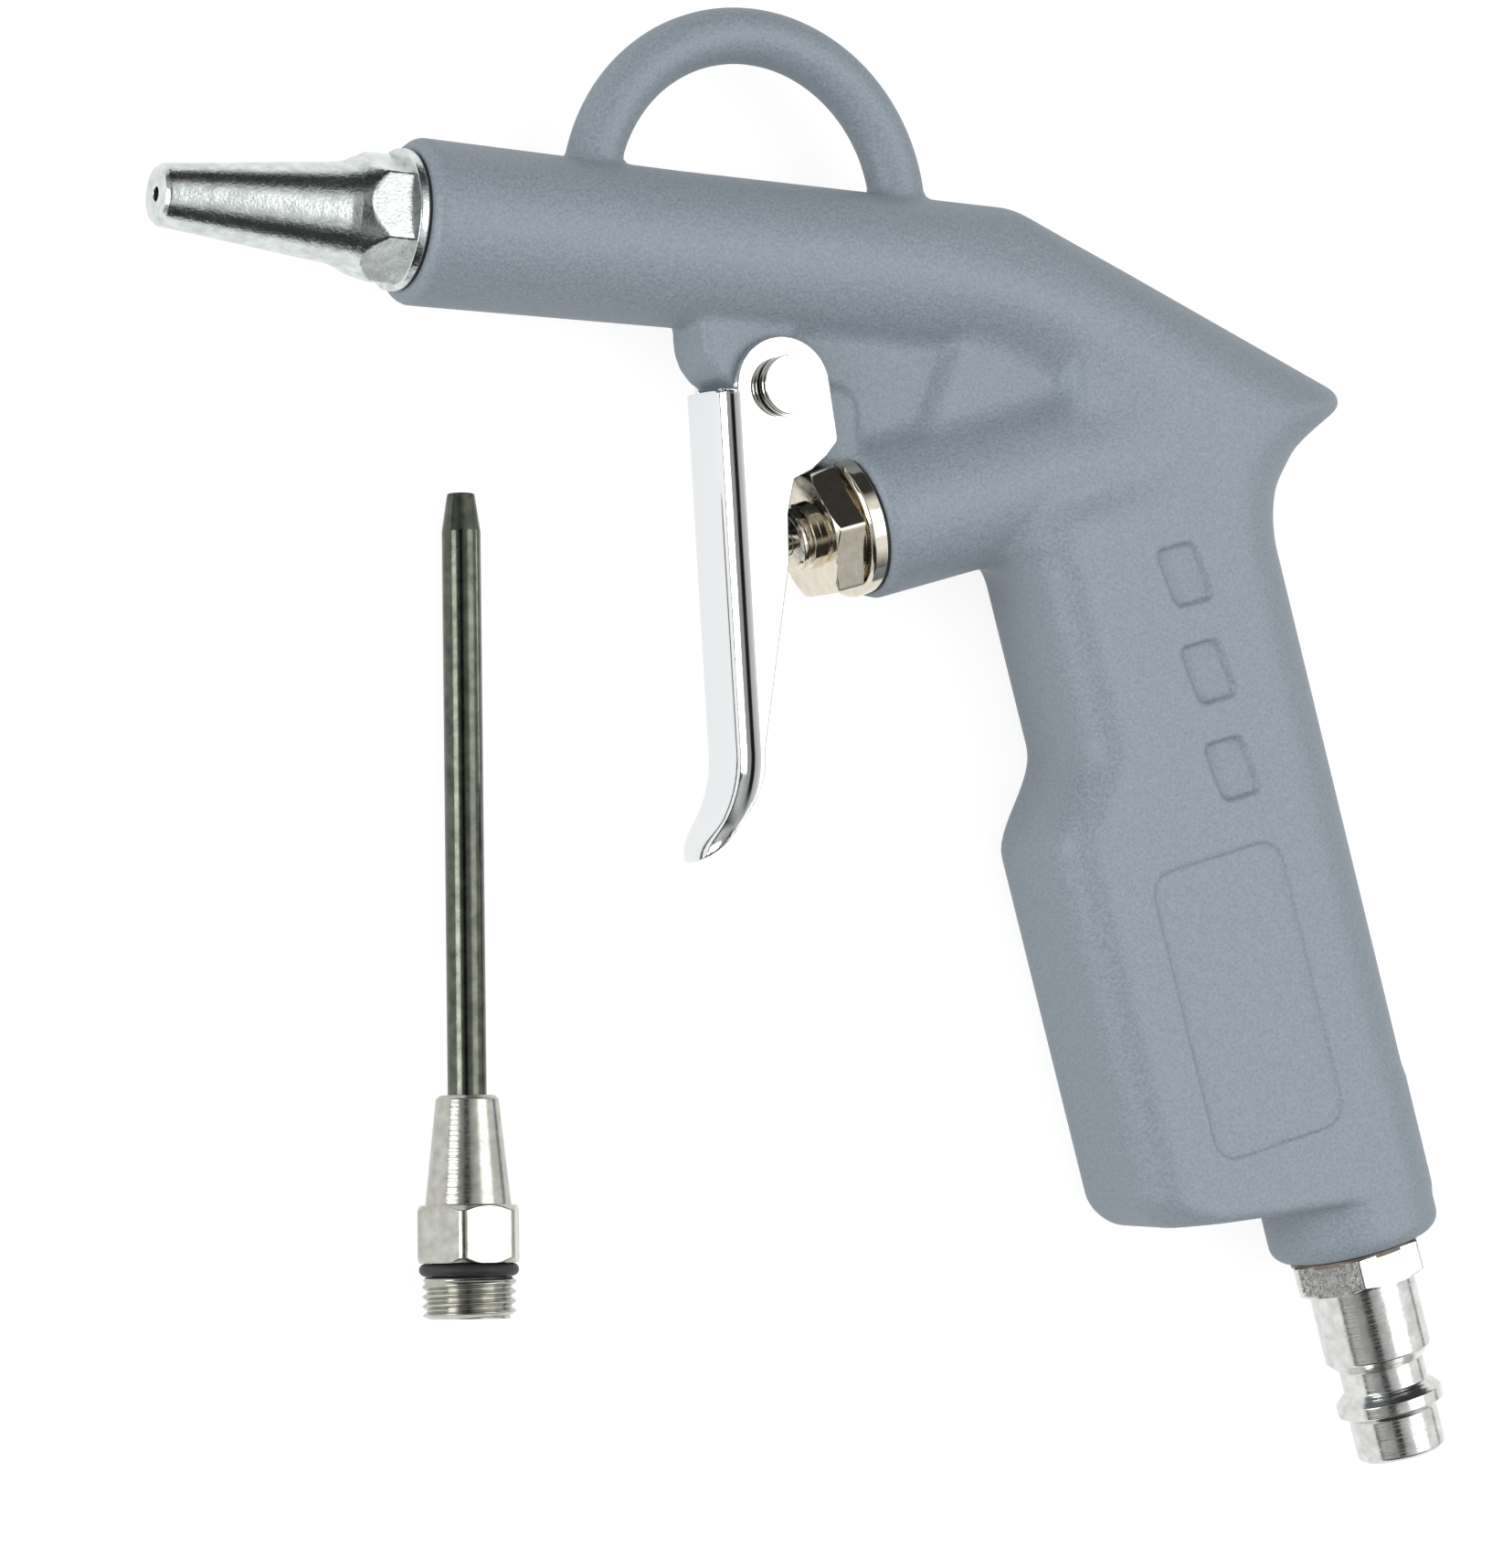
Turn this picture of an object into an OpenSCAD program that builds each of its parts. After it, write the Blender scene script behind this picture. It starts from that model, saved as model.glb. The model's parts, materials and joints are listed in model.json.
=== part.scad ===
// Compressed air duster gun with a quick plug and a spare extension nozzle, lying on its side.
// Lengths are in millimetres. The gun is drawn with its barrel axis along X and the mouth at X = 0,
// then every piece is shifted so that the side it lies on is at Z = 0.

/* [Barrel] */
// Barrel diameter at the mouth
mouth_d = 17.4; // [16.6:0.1:18]
// Barrel diameter behind the mouth taper
barrel_d = 16.6; // [16:0.1:17.2]
// Length over which the barrel narrows from its mouth
mouth_taper_len = 31; // [20:1:40]
// Rounding of the mouth's rim
mouth_rim_r = 1.4; // [0.6:0.1:1.8]
// Distance from the mouth to the corner where the back slopes down
barrel_len = 71.2; // [70:0.2:76]
// Major diameter of the outlet thread in the mouth
outlet_thread_d = 10; // [9:0.5:11]
// Depth of the outlet thread
outlet_thread_len = 11; // [9:0.5:14]
// Diameter of the air way along the barrel
air_way_d = 6; // [4:0.5:7]

/* [Back and thumb rest] */
// Downward slope of the back behind the barrel, in degrees
back_slope = 21.4; // [20:0.2:23]
// Rounding of the bend between barrel and back
bend_r = 8; // [5:1:12]
// Nose radius of the tail, seen from the side
tail_nose_r = 1.9; // [1.5:0.1:2.4]
// Radius of the hollow under the tail, where the thumb's web lies
thumb_r = 13.3; // [12.3:0.1:14.5]
// Distance down the grip where the hollow runs into the straight back
thumb_end = 31.5; // [31:0.1:32.5]
// Length over which the tail is rounded in plan
tail_round_len = 13; // [11:0.5:14]

/* [Grip] */
// Lean of the grip from the vertical, in degrees
grip_lean = 17.8; // [17:0.2:19]
// Distance from the bend's corner to the point where the grip's axis crosses the barrel's
grip_setback = 15.65; // [14.5:0.05:17]
// Thickness of the grip
grip_t = 18.4; // [18.2:0.1:19.4]
// Distance from the grip's axis to its front above the finger stop
grip_front = 22.6; // [21.8:0.2:24]
// Distance from the grip's axis to its back
grip_rear = 9.9; // [9.5:0.1:10.5]
// Rounding of the grip's front edges
grip_edge_r = 5; // [3.5:0.5:6]
// Distance down the grip to its front bottom corner
grip_len = 98.6; // [97:0.2:104]
// Slant of the grip's foot, in degrees
foot_slant = 9.9; // [8:0.5:12]
// Rounding of the foot's edge
foot_edge_r = 2; // [1:0.5:2.5]
// Depth of the finger stop
stop_depth = 6.4; // [4:0.2:7]
// Distance down the grip where the finger stop begins
stop_start = 45.7; // [43:0.1:48]
// Length of the finger stop's swell
stop_len = 9.5; // [7:0.5:11]

/* [Finger pads and panel] */
// Number of sunk pads on each side
pad_count = 3; // [1:1:3]
// Width of a pad, across the grip
pad_w = 4.75; // [4:0.25:6]
// Length of a pad, along the grip
pad_len = 6.45; // [5:0.25:7.5]
// Distance from pad to pad
pad_pitch = 10.95; // [9.5:0.25:12]
// Distance down the grip to the first pad
pad_first = 30.6; // [30:0.1:33]
// Distance of the pads in front of the grip's axis
pad_offset = 6.4; // [5:0.1:8]
// Depth of a pad
pad_depth = 0.7; // [0.4:0.1:0.9]
// Corner rounding of a pad
pad_corner_r = 0.8; // [0.4:0.1:1.2]
// Slant of a pad's long sides, in degrees
pad_skew = 8; // [0:1:10]
// Width of the sunk panel
panel_w = 16.6; // [15:0.2:17]
// Length of the sunk panel
panel_len = 31.9; // [28:0.5:33]
// Distance from the grip's front bottom corner up to the panel's middle
panel_rise = 21.2; // [19.6:0.1:22.6]
// Distance of the panel's middle in front of the grip's axis
panel_offset = 11.4; // [11:0.1:12.2]
// Depth of the panel
panel_depth = 0.4; // [0.2:0.1:0.6]
// Corner rounding of the panel
panel_corner_r = 2.5; // [1.5:0.5:4]

/* [Valve housing] */
// Distance down the grip to the valve's axis
valve_drop = 16.25; // [15.9:0.05:17]
// Distance from the grip's axis to the valve housing's face
valve_reach = 40; // [39.6:0.1:41]
// Diameter of the valve housing
valve_boss_d = 17.1; // [16.6:0.1:17.8]
// Rounding of the valve housing's rim
valve_rim_r = 1; // [0.5:0.1:1.2]
// Diameter of the thread that takes the valve cartridge
valve_thread_d = 13; // [12.8:0.1:13.4]
// Depth of that thread
valve_thread_len = 5.2; // [4.5:0.1:5.6]
// Diameter of the valve's chamber
chamber_d = 11; // [10:0.5:11.5]
// Depth of the valve's chamber below the housing's face
chamber_depth = 31; // [30:0.5:33]
// Diameter of the bore from the chamber to the duct in the grip
feed_d = 6; // [5:0.5:7]
// Diameter of the air passage from the valve up to the barrel
riser_d = 3.3; // [2.5:0.1:3.5]
// Distance along the housing from its face to below the passage's end in the barrel
riser_behind = 20.65; // [19.5:0.05:21.2]

/* [Inlet] */
// Diameter of the inlet boss
inlet_boss_d = 18.2; // [17.6:0.1:18.3]
// Distance from the grip's front bottom corner down to the inlet boss's end face
inlet_out = 10.65; // [9.4:0.05:14.4]
// Distance of the inlet's axis in front of the grip's axis
inlet_offset = 0.4; // [0:0.1:0.8]
// Rounding of the inlet boss's edge
inlet_edge_r = 2; // [1:0.5:2.4]
// Major diameter of the inlet thread
inlet_thread_d = 13.157; // [12.5:0.1:13.6]
// Depth of the inlet thread
inlet_thread_len = 12; // [11:0.5:14]
// Diameter of the air duct up the grip
duct_d = 9; // [7:0.5:10]

/* [Hanging hook] */
// Distance from the mouth to the hook's middle
hook_mid = 39.6; // [37:0.2:42]
// Height of the hook's centre above the barrel's axis
hook_rise = 5.2; // [4:0.2:6]
// Radius of the hook's middle line
hook_r = 18.5; // [16:0.1:20]
// Diameter of the hook's bar
hook_bar_d = 6; // [5:0.2:6.6]

/* [Web and lug] */
// Thickness of the web between barrel and valve housing
web_t = 6.4; // [5:0.2:7]
// Thickness of the rib across the web, which carries the air passage
rib_t = 9; // [8:0.2:9.6]
// Width of the rib
rib_w = 5; // [4.6:0.1:5.6]
// Thickness of the lug that carries the trigger
lug_t = 8.2; // [7.5:0.1:9]

/* [Trigger] */
// Distance of the trigger's pivot in front of the valve housing's face
pivot_lead = 5.15; // [4.8:0.05:6.2]
// Distance of the trigger's pivot below the barrel's axis
pivot_drop = 14.25; // [14:0.05:14.6]
// Thickness of the trigger's sheet
sheet_t = 1; // [0.8:0.1:1.1]
// Play between the lug and the trigger on each side
lug_play = 0.2; // [0.15:0.05:0.3]
// Outer bend radius of the trigger's sheet
bend_edge_r = 1.5; // [1.2:0.1:1.8]
// Lean of the trigger's front, in degrees
front_lean = 4.6; // [4.2:0.2:5.4]
// Radius of the trigger's ears round the pivot
ear_r = 5.7; // [5.5:0.1:5.9]
// Reach of the ears behind the pivot
ear_reach = 6.4; // [6:0.1:6.8]
// Distance below the pivot where the ears turn in
ear_drop = 5.9; // [5.4:0.1:6.2]
// Depth of the channel below the ears, from its front
neck_depth = 6.7; // [6:0.1:7]
// Distance below the pivot where that depth is reached
neck_drop = 9.3; // [9:0.1:10]
// Length of the trigger's straight front below the pivot
front_len = 37.9; // [37:0.1:42]
// Depth of the channel where the front begins to curl
toe_depth = 1.7; // [1.6:0.1:2.2]
// Radius of the curl at the trigger's tip
curl_r = 12.2; // [10:0.2:14]
// Angle of the curl, in degrees
curl_angle = 61; // [45:1:68]
// Corner rounding of the tip
tip_corner_r = 3.5; // [2.5:0.25:4.5]
// Angle that the trigger swings when it is pressed home, in degrees
press_angle = 10.4; // [8:0.2:10.4]

/* [Pivot pin] */
// Diameter of the pivot pin
pin_d = 4; // [3.4:0.1:4.4]
// Diameter of its head
pin_head_d = 6.4; // [5.6:0.1:7]
// Height of its head
pin_head_h = 2.8; // [2:0.1:3.2]
// Outer diameter of the retaining clip
clip_d = 7.6; // [7:0.1:8.2]
// Thickness of the retaining clip
clip_t = 0.7; // [0.5:0.1:0.9]

/* [Valve cartridge] */
// Diameter of the cartridge's collar
collar_d = 15.5; // [15:0.1:15.9]
// Thickness of the collar
collar_h = 2.2; // [1.8:0.1:2.4]
// Length of the relief between collar and hexagon
relief_h = 1; // [0.6:0.1:1.2]
// Width across the flats of the cartridge's hexagon
cartridge_af = 13; // [12:0.5:13]
// Length of the cartridge's hexagon
cartridge_hex_h = 2.9; // [2.4:0.1:3]
// Thickness of the gasket under the collar
gasket_t = 0.4; // [0.3:0.1:0.6]
// Diameter of the gland bush
gland_d = 6.9; // [6.4:0.1:7.4]
// Length of the gland bush outside the hexagon
gland_h = 3; // [2.4:0.1:3.2]
// Diameter of the valve stem
stem_d = 3; // [2.8:0.1:3.2]
// Distance from the housing's face to the valve seat
seat_depth = 13; // [12.6:0.1:13.4]
// Diameter of the valve seat's opening
seat_d = 6.8; // [6.2:0.1:7.2]
// Diameter of the valve disc
disc_d = 8.6; // [8.2:0.1:9]
// Thickness of the valve disc's rubber
disc_t = 1.3; // [1:0.1:1.5]
// Mean diameter of the valve spring
spring_d = 7; // [6.6:0.1:7.4]
// Wire diameter of the valve spring
spring_wire_d = 0.8; // [0.6:0.1:0.9]
// Number of the valve spring's turns
spring_turns = 6; // [4:1:7]

/* [Short nozzle] */
// Diameter of the washer behind the nozzle
nozzle_washer_d = 14.8; // [14:0.1:15.2]
// Thickness of that washer
nozzle_washer_t = 1; // [0.8:0.1:1.2]
// Thickness of the seal between washer and mouth
nozzle_seal_t = 0.35; // [0.3:0.05:0.5]
// Width across the flats of the nozzle's hexagon
nozzle_af = 12; // [11.5:0.5:12.5]
// Length of the nozzle's hexagon
nozzle_hex_h = 4.45; // [4:0.05:5]
// Diameter of the nozzle's cone at its root
nozzle_root_d = 10.56; // [10:0.1:11]
// Length of the hollow flare between hexagon and cone
nozzle_flare_len = 2.2; // [1.6:0.1:3]
// Diameter of the nozzle's tip
nozzle_tip_d = 6.44; // [6:0.1:7]
// Distance from the mouth to the nozzle's tip
nozzle_reach = 27.5; // [24:0.5:30]
// Diameter of the nozzle's outlet hole
nozzle_hole_d = 1.5; // [1:0.1:2.5]

/* [Quick plug] */
// Width across the flats of the plug's hexagon
plug_af = 14; // [13.5:0.5:15]
// Length of the plug's hexagon
plug_hex_h = 3.35; // [3:0.05:4]
// Diameter of the plug's shaft and of its ring
plug_ring_d = 12; // [11.8:0.1:12.2]
// Length of the plug's shaft
plug_shaft_len = 8.35; // [7:0.1:10]
// Diameter of the plug's neck
plug_neck_d = 9.6; // [9.2:0.1:9.8]
// Distance from the hexagon's end to the middle of the ring
plug_ring_at = 13.95; // [13:0.1:16]
// Diameter of the plug's end
plug_end_d = 10; // [9.9:0.1:10.1]
// Length of the plug's end behind its ring
plug_end_len = 6.1; // [5.5:0.1:8]
// Diameter of the plug's bore
plug_bore_d = 7.2; // [6:0.1:7.4]
// Thickness of the sealing washer under the plug
plug_washer_t = 0.5; // [0.4:0.1:0.8]

/* [Spare extension nozzle] */
// Diameter of the extension's tube
ext_tube_d = 4.1; // [4:0.1:5]
// Length of the tube outside its adapter
ext_tube_len = 63.2; // [50:0.2:80]
// Bore of the tube
ext_bore_d = 2.4; // [1.6:0.1:2.8]
// Length of the tube's drawn-in tip
ext_tip_len = 4; // [3:0.5:6]
// Diameter of the tube's tip
ext_tip_d = 2.9; // [2.9:0.1:3.4]
// Length of the adapter's cone
ext_cone_len = 11.4; // [9:0.2:14]
// Diameter of the adapter's cone at the tube
ext_cone_tip_d = 6.6; // [6:0.1:7.4]
// Diameter of the adapter's cone at the hexagon
ext_cone_root_d = 9; // [8.2:0.1:9.6]
// Width across the flats of the adapter's hexagon
ext_af = 10.15; // [10:0.05:11]
// Length of the adapter's hexagon
ext_hex_h = 6; // [5:0.2:8]
// Thickness of the adapter's sealing ring
ext_ring_t = 1.4; // [1.2:0.1:1.8]
// Length of the adapter's thread
ext_thread_len = 4.4; // [4:0.2:7]
// Distance from the mouth's plane back to the spare nozzle's tip
ext_tip_x = 10.7; // [8:0.1:12]
// Distance of the spare nozzle's tip below the barrel's axis
ext_tip_drop = 27; // [26:0.5:32]
// Turn of the spare nozzle from square to the barrel, in degrees
ext_turn = 1.6; // [0:0.2:3]

/* [Hidden] */

$fn = 64;

// Radial play of a piece in its seat, and of a moving piece in its bore
fit = 0.05;
// Distance that a cut runs past the face it opens
over = 1;
// Gap left between a moving piece and what it comes to rest on
rest_gap = 0.2;
// Distance that one part of a casting is sunk into the next
root = 0.6;
// Small chamfer on turned pieces
chamfer_c = 0.4;
// Steps in a quarter turn of a section's corner, and in a drawn arc
corner_steps = 8;
arc_steps = 8;

mouth_r = mouth_d / 2;
barrel_r = barrel_d / 2;
grip_h = grip_t / 2;
grip_x = barrel_len + grip_setback;
// Places tied to the valve housing's face and to the grip's foot
pivot_setback = valve_reach + pivot_lead;
riser_setback = valve_reach - riser_behind;
panel_mid = grip_len - panel_rise;
inlet_len = grip_len + inlet_out;

// Point on the side view at a distance u down the grip and w behind its axis
function on_grip(u, w) =
    [grip_x + u * sin(grip_lean) + w * cos(grip_lean), w * sin(grip_lean) - u * cos(grip_lean)];
function arc(c, r, from, to, n) =
    [for (i = [0:n]) c + r * [cos(from + (to - from) * i / n), sin(from + (to - from) * i / n)]];
function mix(a, b, t) = a + (b - a) * t;
function ease(t) = t * t * (3 - 2 * t);

// Outline of a rectangle with rounded corners about the origin; skew leans its long sides
function rounded(w, l, r, skew = 0) = [
    for (q = [0:3]) let (sx = q == 0 || q == 3 ? 1 : -1, sy = q < 2 ? 1 : -1)
        for (p = arc([sx * (w / 2 - r), sy * (l / 2 - r)], r, q * 90, q * 90 + 90, arc_steps / 2))
            [p.x + p.y * tan(skew), p.y]
];

// The whole object's box in the side view, from which the origin is placed
nozzle_tip_x = -nozzle_reach;
plug_end_u = inlet_len + plug_washer_t + plug_hex_h + plug_ring_at + plug_end_len;
box_right = on_grip(plug_end_u, plug_end_d / 2 - inlet_offset).x;
box_low = on_grip(plug_end_u, -plug_end_d / 2 - inlet_offset).y;
box_top = hook_rise + hook_r + hook_bar_d / 2;
mid_x = (nozzle_tip_x + box_right) / 2;
mid_y = (box_low + box_top) / 2;

module place() { translate([-mid_x, -mid_y, grip_h]) children(); }
// The barrel's axis, with the child's Z along +X
module on_barrel(x) { translate([x, 0, 0]) rotate([0, 90, 0]) children(); }
// The inlet's axis, with the child's Z pointing down the grip
module down_grip(u) {
    p = on_grip(u, -inlet_offset);
    translate([p.x, p.y, 0]) rotate([0, 0, grip_lean]) rotate([90, 0, 0]) children();
}
// The valve's axis, with the child's Z pointing into the housing from its face
boss_face = on_grip(valve_drop, -valve_reach);
module into_valve(c) {
    translate([boss_face.x, boss_face.y, 0]) rotate([0, 0, grip_lean]) rotate([0, 90, 0])
        translate([0, 0, c]) children();
}

// A hexagon with its corners turned off to a cone at one or both ends
module hexagon(af, h, low_cut, high_cut) {
    ac = af / cos(30);
    chamfer = (ac - af) / 2;
    intersection() {
        cylinder(h = h, d = ac, $fn = 6);
        rotate_extrude()
            polygon([
                [0, 0], [ac / 2 - chamfer * low_cut, 0], [ac / 2, chamfer * low_cut * tan(30)],
                [ac / 2, h - chamfer * high_cut * tan(30)], [ac / 2 - chamfer * high_cut, h], [0, h]
            ]);
    }
}

// The casting's rear half is one loft. Each section is a plane square to the side view, laid from
// an inner point A to an outer point B. Its outer end is a half ellipse; its inner end has rounded
// corners. The planes stand across the barrel, fan round the inside of the head, and then cross
// the grip.
inner_flat = 0.6;
function section(a, b, h, inner_x, inner_z, outer_x) = let (
    reach = norm(b - a),
    d = (b - a) / reach,
    ix = min(inner_x, reach / 2 - inner_flat),
    ox = min(outer_x, reach - ix - inner_flat),
    iz = min(inner_z, h - inner_flat / 2),
    step = 90 / corner_steps,
    quarter_out = [for (i = [1:corner_steps]) [reach - ox + ox * cos(i * step), h * sin(i * step)]],
    quarter_in = [for (i = [0:corner_steps])
        [ix - ix * sin(i * step), h - iz + iz * cos(i * step)]],
    half = concat(quarter_out, quarter_in),
    n = len(half),
    flat = concat([[reach, 0]], half, [for (i = [n - 1:-1:0]) [half[i].x, -half[i].y]])
) [for (p = flat) [a.x + d.x * p.x, a.y + d.y * p.x, p.y]];

// Back line: from the bend's corner down the slope
bend = [barrel_len, barrel_r];
slope_dir = [cos(back_slope), -sin(back_slope)];
slope_in = [-sin(back_slope), -cos(back_slope)];
// The hollow's centre lies one radius behind the grip's back
thumb_c = on_grip(thumb_end, grip_rear + thumb_r);
// The nose circle touches the slope from below and the hollow from outside
nose_base = bend + slope_in * tail_nose_r;
to_base = nose_base - thumb_c;
nose_dot = to_base * slope_dir;
nose_reach = thumb_r + tail_nose_r;
nose_run = -nose_dot - sqrt(nose_dot * nose_dot - to_base * to_base + nose_reach * nose_reach);
nose_c = nose_base + slope_dir * nose_run;
nose_to_thumb = thumb_c - nose_c;
nose_end_angle = atan2(nose_to_thumb.y, nose_to_thumb.x);
nose_start_angle = 90 - back_slope;

bend_cut = bend_r * tan(back_slope / 2);
bend_c = [barrel_len - bend_cut, barrel_r - bend_r];
skin = 0.05;
function back_line() = concat(
    [for (p = arc(bend_c, bend_r - skin, 90, 90 - back_slope, 4)) p],
    [for (t = [1:5]) bend + slope_dir * mix(bend_cut, nose_run, t / 6)],
    arc(nose_c, tail_nose_r, nose_start_angle, nose_end_angle, 6)
);
back = back_line();
back_n = len(back) - 1;
// Inner points of the fan, on a curve from the barrel's underside to the grip's front
fan_from = [barrel_len + grip_setback / 4, -barrel_r];
fan_over = [grip_x - grip_rear / 2, -barrel_r];
fan_to = on_grip(valve_drop + valve_rim_r, -grip_front);
function fan_point(t) = mix(mix(fan_from, fan_over, t), mix(fan_over, fan_to, t), t);
// The stop swells at once and then levels out softly
swell_power = 1.35;
function front_w(u) = let (t = min(max((u - stop_start) / stop_len, 0), 1))
    -grip_front - stop_depth * (1 - pow(1 - t, swell_power));

thumb_from = nose_end_angle + 180;
thumb_to = grip_lean + 180;
thumb_n = 7;
thumb_line = [for (i = [1:thumb_n])
    let (t = thumb_from + (thumb_to - thumb_from) * i / thumb_n)
        thumb_c + thumb_r * [cos(t), sin(t)]];
thumb_front = valve_drop + valve_rim_r;

foot_rise = tan(foot_slant);
stop_list = concat(
    [for (i = [0:6]) stop_start + stop_len * i / 6],
    [mix(stop_start + stop_len, grip_len, 1 / 2)]
);

barrel_sections = [
    for (x = [barrel_len - grip_setback, barrel_len - bend_cut - bend_r / 4])
        section([x, skin - barrel_r], [x, barrel_r - skin], barrel_r - skin,
            barrel_r - skin, barrel_r - skin, barrel_r - skin)
];
head_sections = [
    for (i = [0:back_n]) let (t = i / back_n, k = ease(min(t * 3 / 2, 1)))
        section(fan_point(t * t * (2 - t)), back[i], mix(barrel_r - skin, grip_h, k),
            mix(barrel_r, grip_edge_r, k), mix(barrel_r, grip_edge_r, k),
            mix(barrel_r, tail_round_len, k))
];
thumb_sections = [
    for (i = [1:thumb_n]) let (t = i / thumb_n)
        section(on_grip(mix(thumb_front, thumb_end, t), -grip_front), thumb_line[i - 1], grip_h,
            grip_edge_r, grip_edge_r, mix(tail_round_len, grip_h, ease(t)))
];
grip_sections = [
    for (u = stop_list)
        section(on_grip(u, front_w(u)), on_grip(u, grip_rear), grip_h,
            grip_edge_r, grip_edge_r, grip_h)
];
// The foot is cut on a slant and rounded into its edge
function foot_section(inset, rise) = let (
    f = -grip_front - stop_depth + inset,
    r = grip_rear - inset,
    u = grip_len - rise
) section(on_grip(u, f), on_grip(u + (r - f) * foot_rise, r), grip_h - inset,
    grip_edge_r - inset, grip_edge_r - inset, grip_h - inset);
foot_sections = [
    for (a = [0:30:90]) foot_section(foot_edge_r * (1 - cos(a)), foot_edge_r * (1 - sin(a)))
];
sections = concat(barrel_sections, head_sections, thumb_sections, grip_sections, foot_sections);

module loft(rings) {
    n = len(rings[0]);
    m = len(rings);
    points = [for (r = rings) for (p = r) p];
    sides = [
        for (j = [0:m - 2]) for (i = [0:n - 1]) let (k = (i + 1) % n)
            for (f = [[j * n + i, j * n + n + k, j * n + k], [j * n + i, j * n + n + i, j * n + n + k]]) f
    ];
    first = [for (i = [0:n - 1]) i];
    last = [for (i = [n - 1:-1:0]) (m - 1) * n + i];
    polyhedron(points, concat([first], sides, [last]));
}

module barrel() {
    on_barrel(0) rotate_extrude()
        polygon(concat(
            [[0, 0]],
            arc([mouth_r - mouth_rim_r, mouth_rim_r], mouth_rim_r, -90, 0, arc_steps),
            [[barrel_r, mouth_taper_len], [barrel_r, barrel_len - bend_cut], [0, barrel_len - bend_cut]]
        ));
}

module valve_housing() {
    r = valve_boss_d / 2;
    into_valve(0) rotate_extrude()
        polygon(concat(
            [[0, 0]],
            arc([r - valve_rim_r, valve_rim_r], valve_rim_r, -90, 0, arc_steps),
            [[r, valve_reach], [0, valve_reach]]
        ));
}

module inlet_boss() {
    r = inlet_boss_d / 2;
    top = grip_len - foot_edge_r;
    down_grip(0) rotate_extrude()
        polygon(concat(
            [[0, top]], [[r, top]],
            arc([r - inlet_edge_r, inlet_len - inlet_edge_r], inlet_edge_r, 0, 90, arc_steps),
            [[0, inlet_len]]
        ));
}

module hook() {
    translate([hook_mid, hook_rise, 0]) rotate_extrude(angle = 180)
        translate([hook_r, 0]) circle(d = hook_bar_d);
}

// The web fills the corner between barrel, valve housing and head
pivot = [grip_x - pivot_setback, -pivot_drop];
lug_back = pivot.x + valve_boss_d * 0.6;
web_foot = on_grip(valve_drop, -valve_reach + valve_rim_r);
module slab(t, points) {
    translate([0, 0, -t / 2]) linear_extrude(height = t) polygon(points);
}

module web() {
    slab(web_t, [
        [pivot.x, -barrel_r / 2], [lug_back, pivot.y],
        [web_foot.x, web_foot.y], on_grip(valve_drop, -grip_rear), [grip_x, -barrel_r / 2]
    ]);
}

// Sizes of the cartridge that the housing's bore follows
land_len = 4;
land_step = 0.3;
land_d = valve_thread_d - 2 * land_step;
oring_t = 1.5;
cartridge_neck_end = seat_depth - land_len;

riser_top = [grip_x - riser_setback, 0];
riser_depth = (valve_thread_len + cartridge_neck_end) / 2;
riser_low = on_grip(valve_drop, riser_depth - valve_reach);
module rib() {
    d = (riser_top - riser_low) / norm(riser_top - riser_low);
    s = [d.y, -d.x] * rib_w / 2;
    low = riser_low + d * valve_boss_d / 4;
    high = riser_top - d * barrel_r / 2;
    slab(rib_t, [low - s, low + s, high + s, high - s]);
}

// The lug hangs from the barrel between the trigger's ears. Its front is cut back so that the
// pressed trigger clears it, and its shoulder stops the released trigger.
lug_round = 2.5;
lug_swell = 3;
lug_shoulder_gap = 0.3;
front_top = 0.5;
front_r = ear_r - sheet_t;
module lug() {
    n = web_normal(press_angle);
    nose = front_r - rest_gap;
    low = pivot.y - ear_r + front_top;
    toe = pivot - nose * n + tangent(press_angle) * nose;
    slab(lug_t, concat(
        [[pivot.x - ear_r - lug_swell, -barrel_r / 2]],
        [[pivot.x - ear_r - lug_swell, -barrel_r]],
        [pivot + [-ear_r - lug_swell * 2 / 3, (ear_r + front_top) / 2]],
        [pivot + [-ear_r, front_top + 2 * lug_shoulder_gap]],
        [pivot + [-nose, front_top + lug_shoulder_gap]],
        arc(pivot, nose, 180, 180 + front_lean + press_angle, 3),
        [toe],
        [on_grip(valve_drop - valve_boss_d / 2 + valve_rim_r, valve_rim_r - valve_reach)],
        arc([lug_back - lug_round, pivot.y - lug_round + lug_round / 2], lug_round, 0, 90, 4),
        [[lug_back - lug_round, -barrel_r / 2]]
    ));
}

module body_bores() {
    on_barrel(-over) cylinder(h = outlet_thread_len + over, d = outlet_thread_d);
    on_barrel(0) cylinder(h = riser_top.x + riser_d / 2, d = air_way_d);
    into_valve(-over) cylinder(h = valve_thread_len + over, d = valve_thread_d);
    into_valve(0) cylinder(h = seat_depth + land_len / 8, d = land_d);
    into_valve(0) cylinder(h = chamber_depth, d = chamber_d);
    into_valve(0) cylinder(h = valve_reach, d = feed_d);
    down_grip(valve_drop - feed_d / 2 - over) cylinder(h = inlet_len - valve_drop, d = duct_d);
    down_grip(inlet_len - inlet_thread_len) cylinder(h = inlet_thread_len + over, d = inlet_thread_d);
    riser();
    translate([pivot.x, pivot.y, -lug_t / 2 - over])
        cylinder(h = lug_t + 2 * over, d = pin_d + 2 * fit);
}

module riser() {
    d = riser_top - riser_low;
    translate([riser_low.x, riser_low.y, 0]) rotate([0, 0, atan2(d.y, d.x)]) rotate([0, 90, 0])
        cylinder(h = norm(d), d = riser_d);
}

module sunk(u, w, depth, points) {
    p = on_grip(u, w);
    translate([p.x, p.y, grip_h - depth]) rotate([0, 0, grip_lean])
        linear_extrude(height = depth + over) polygon(points);
}

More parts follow.
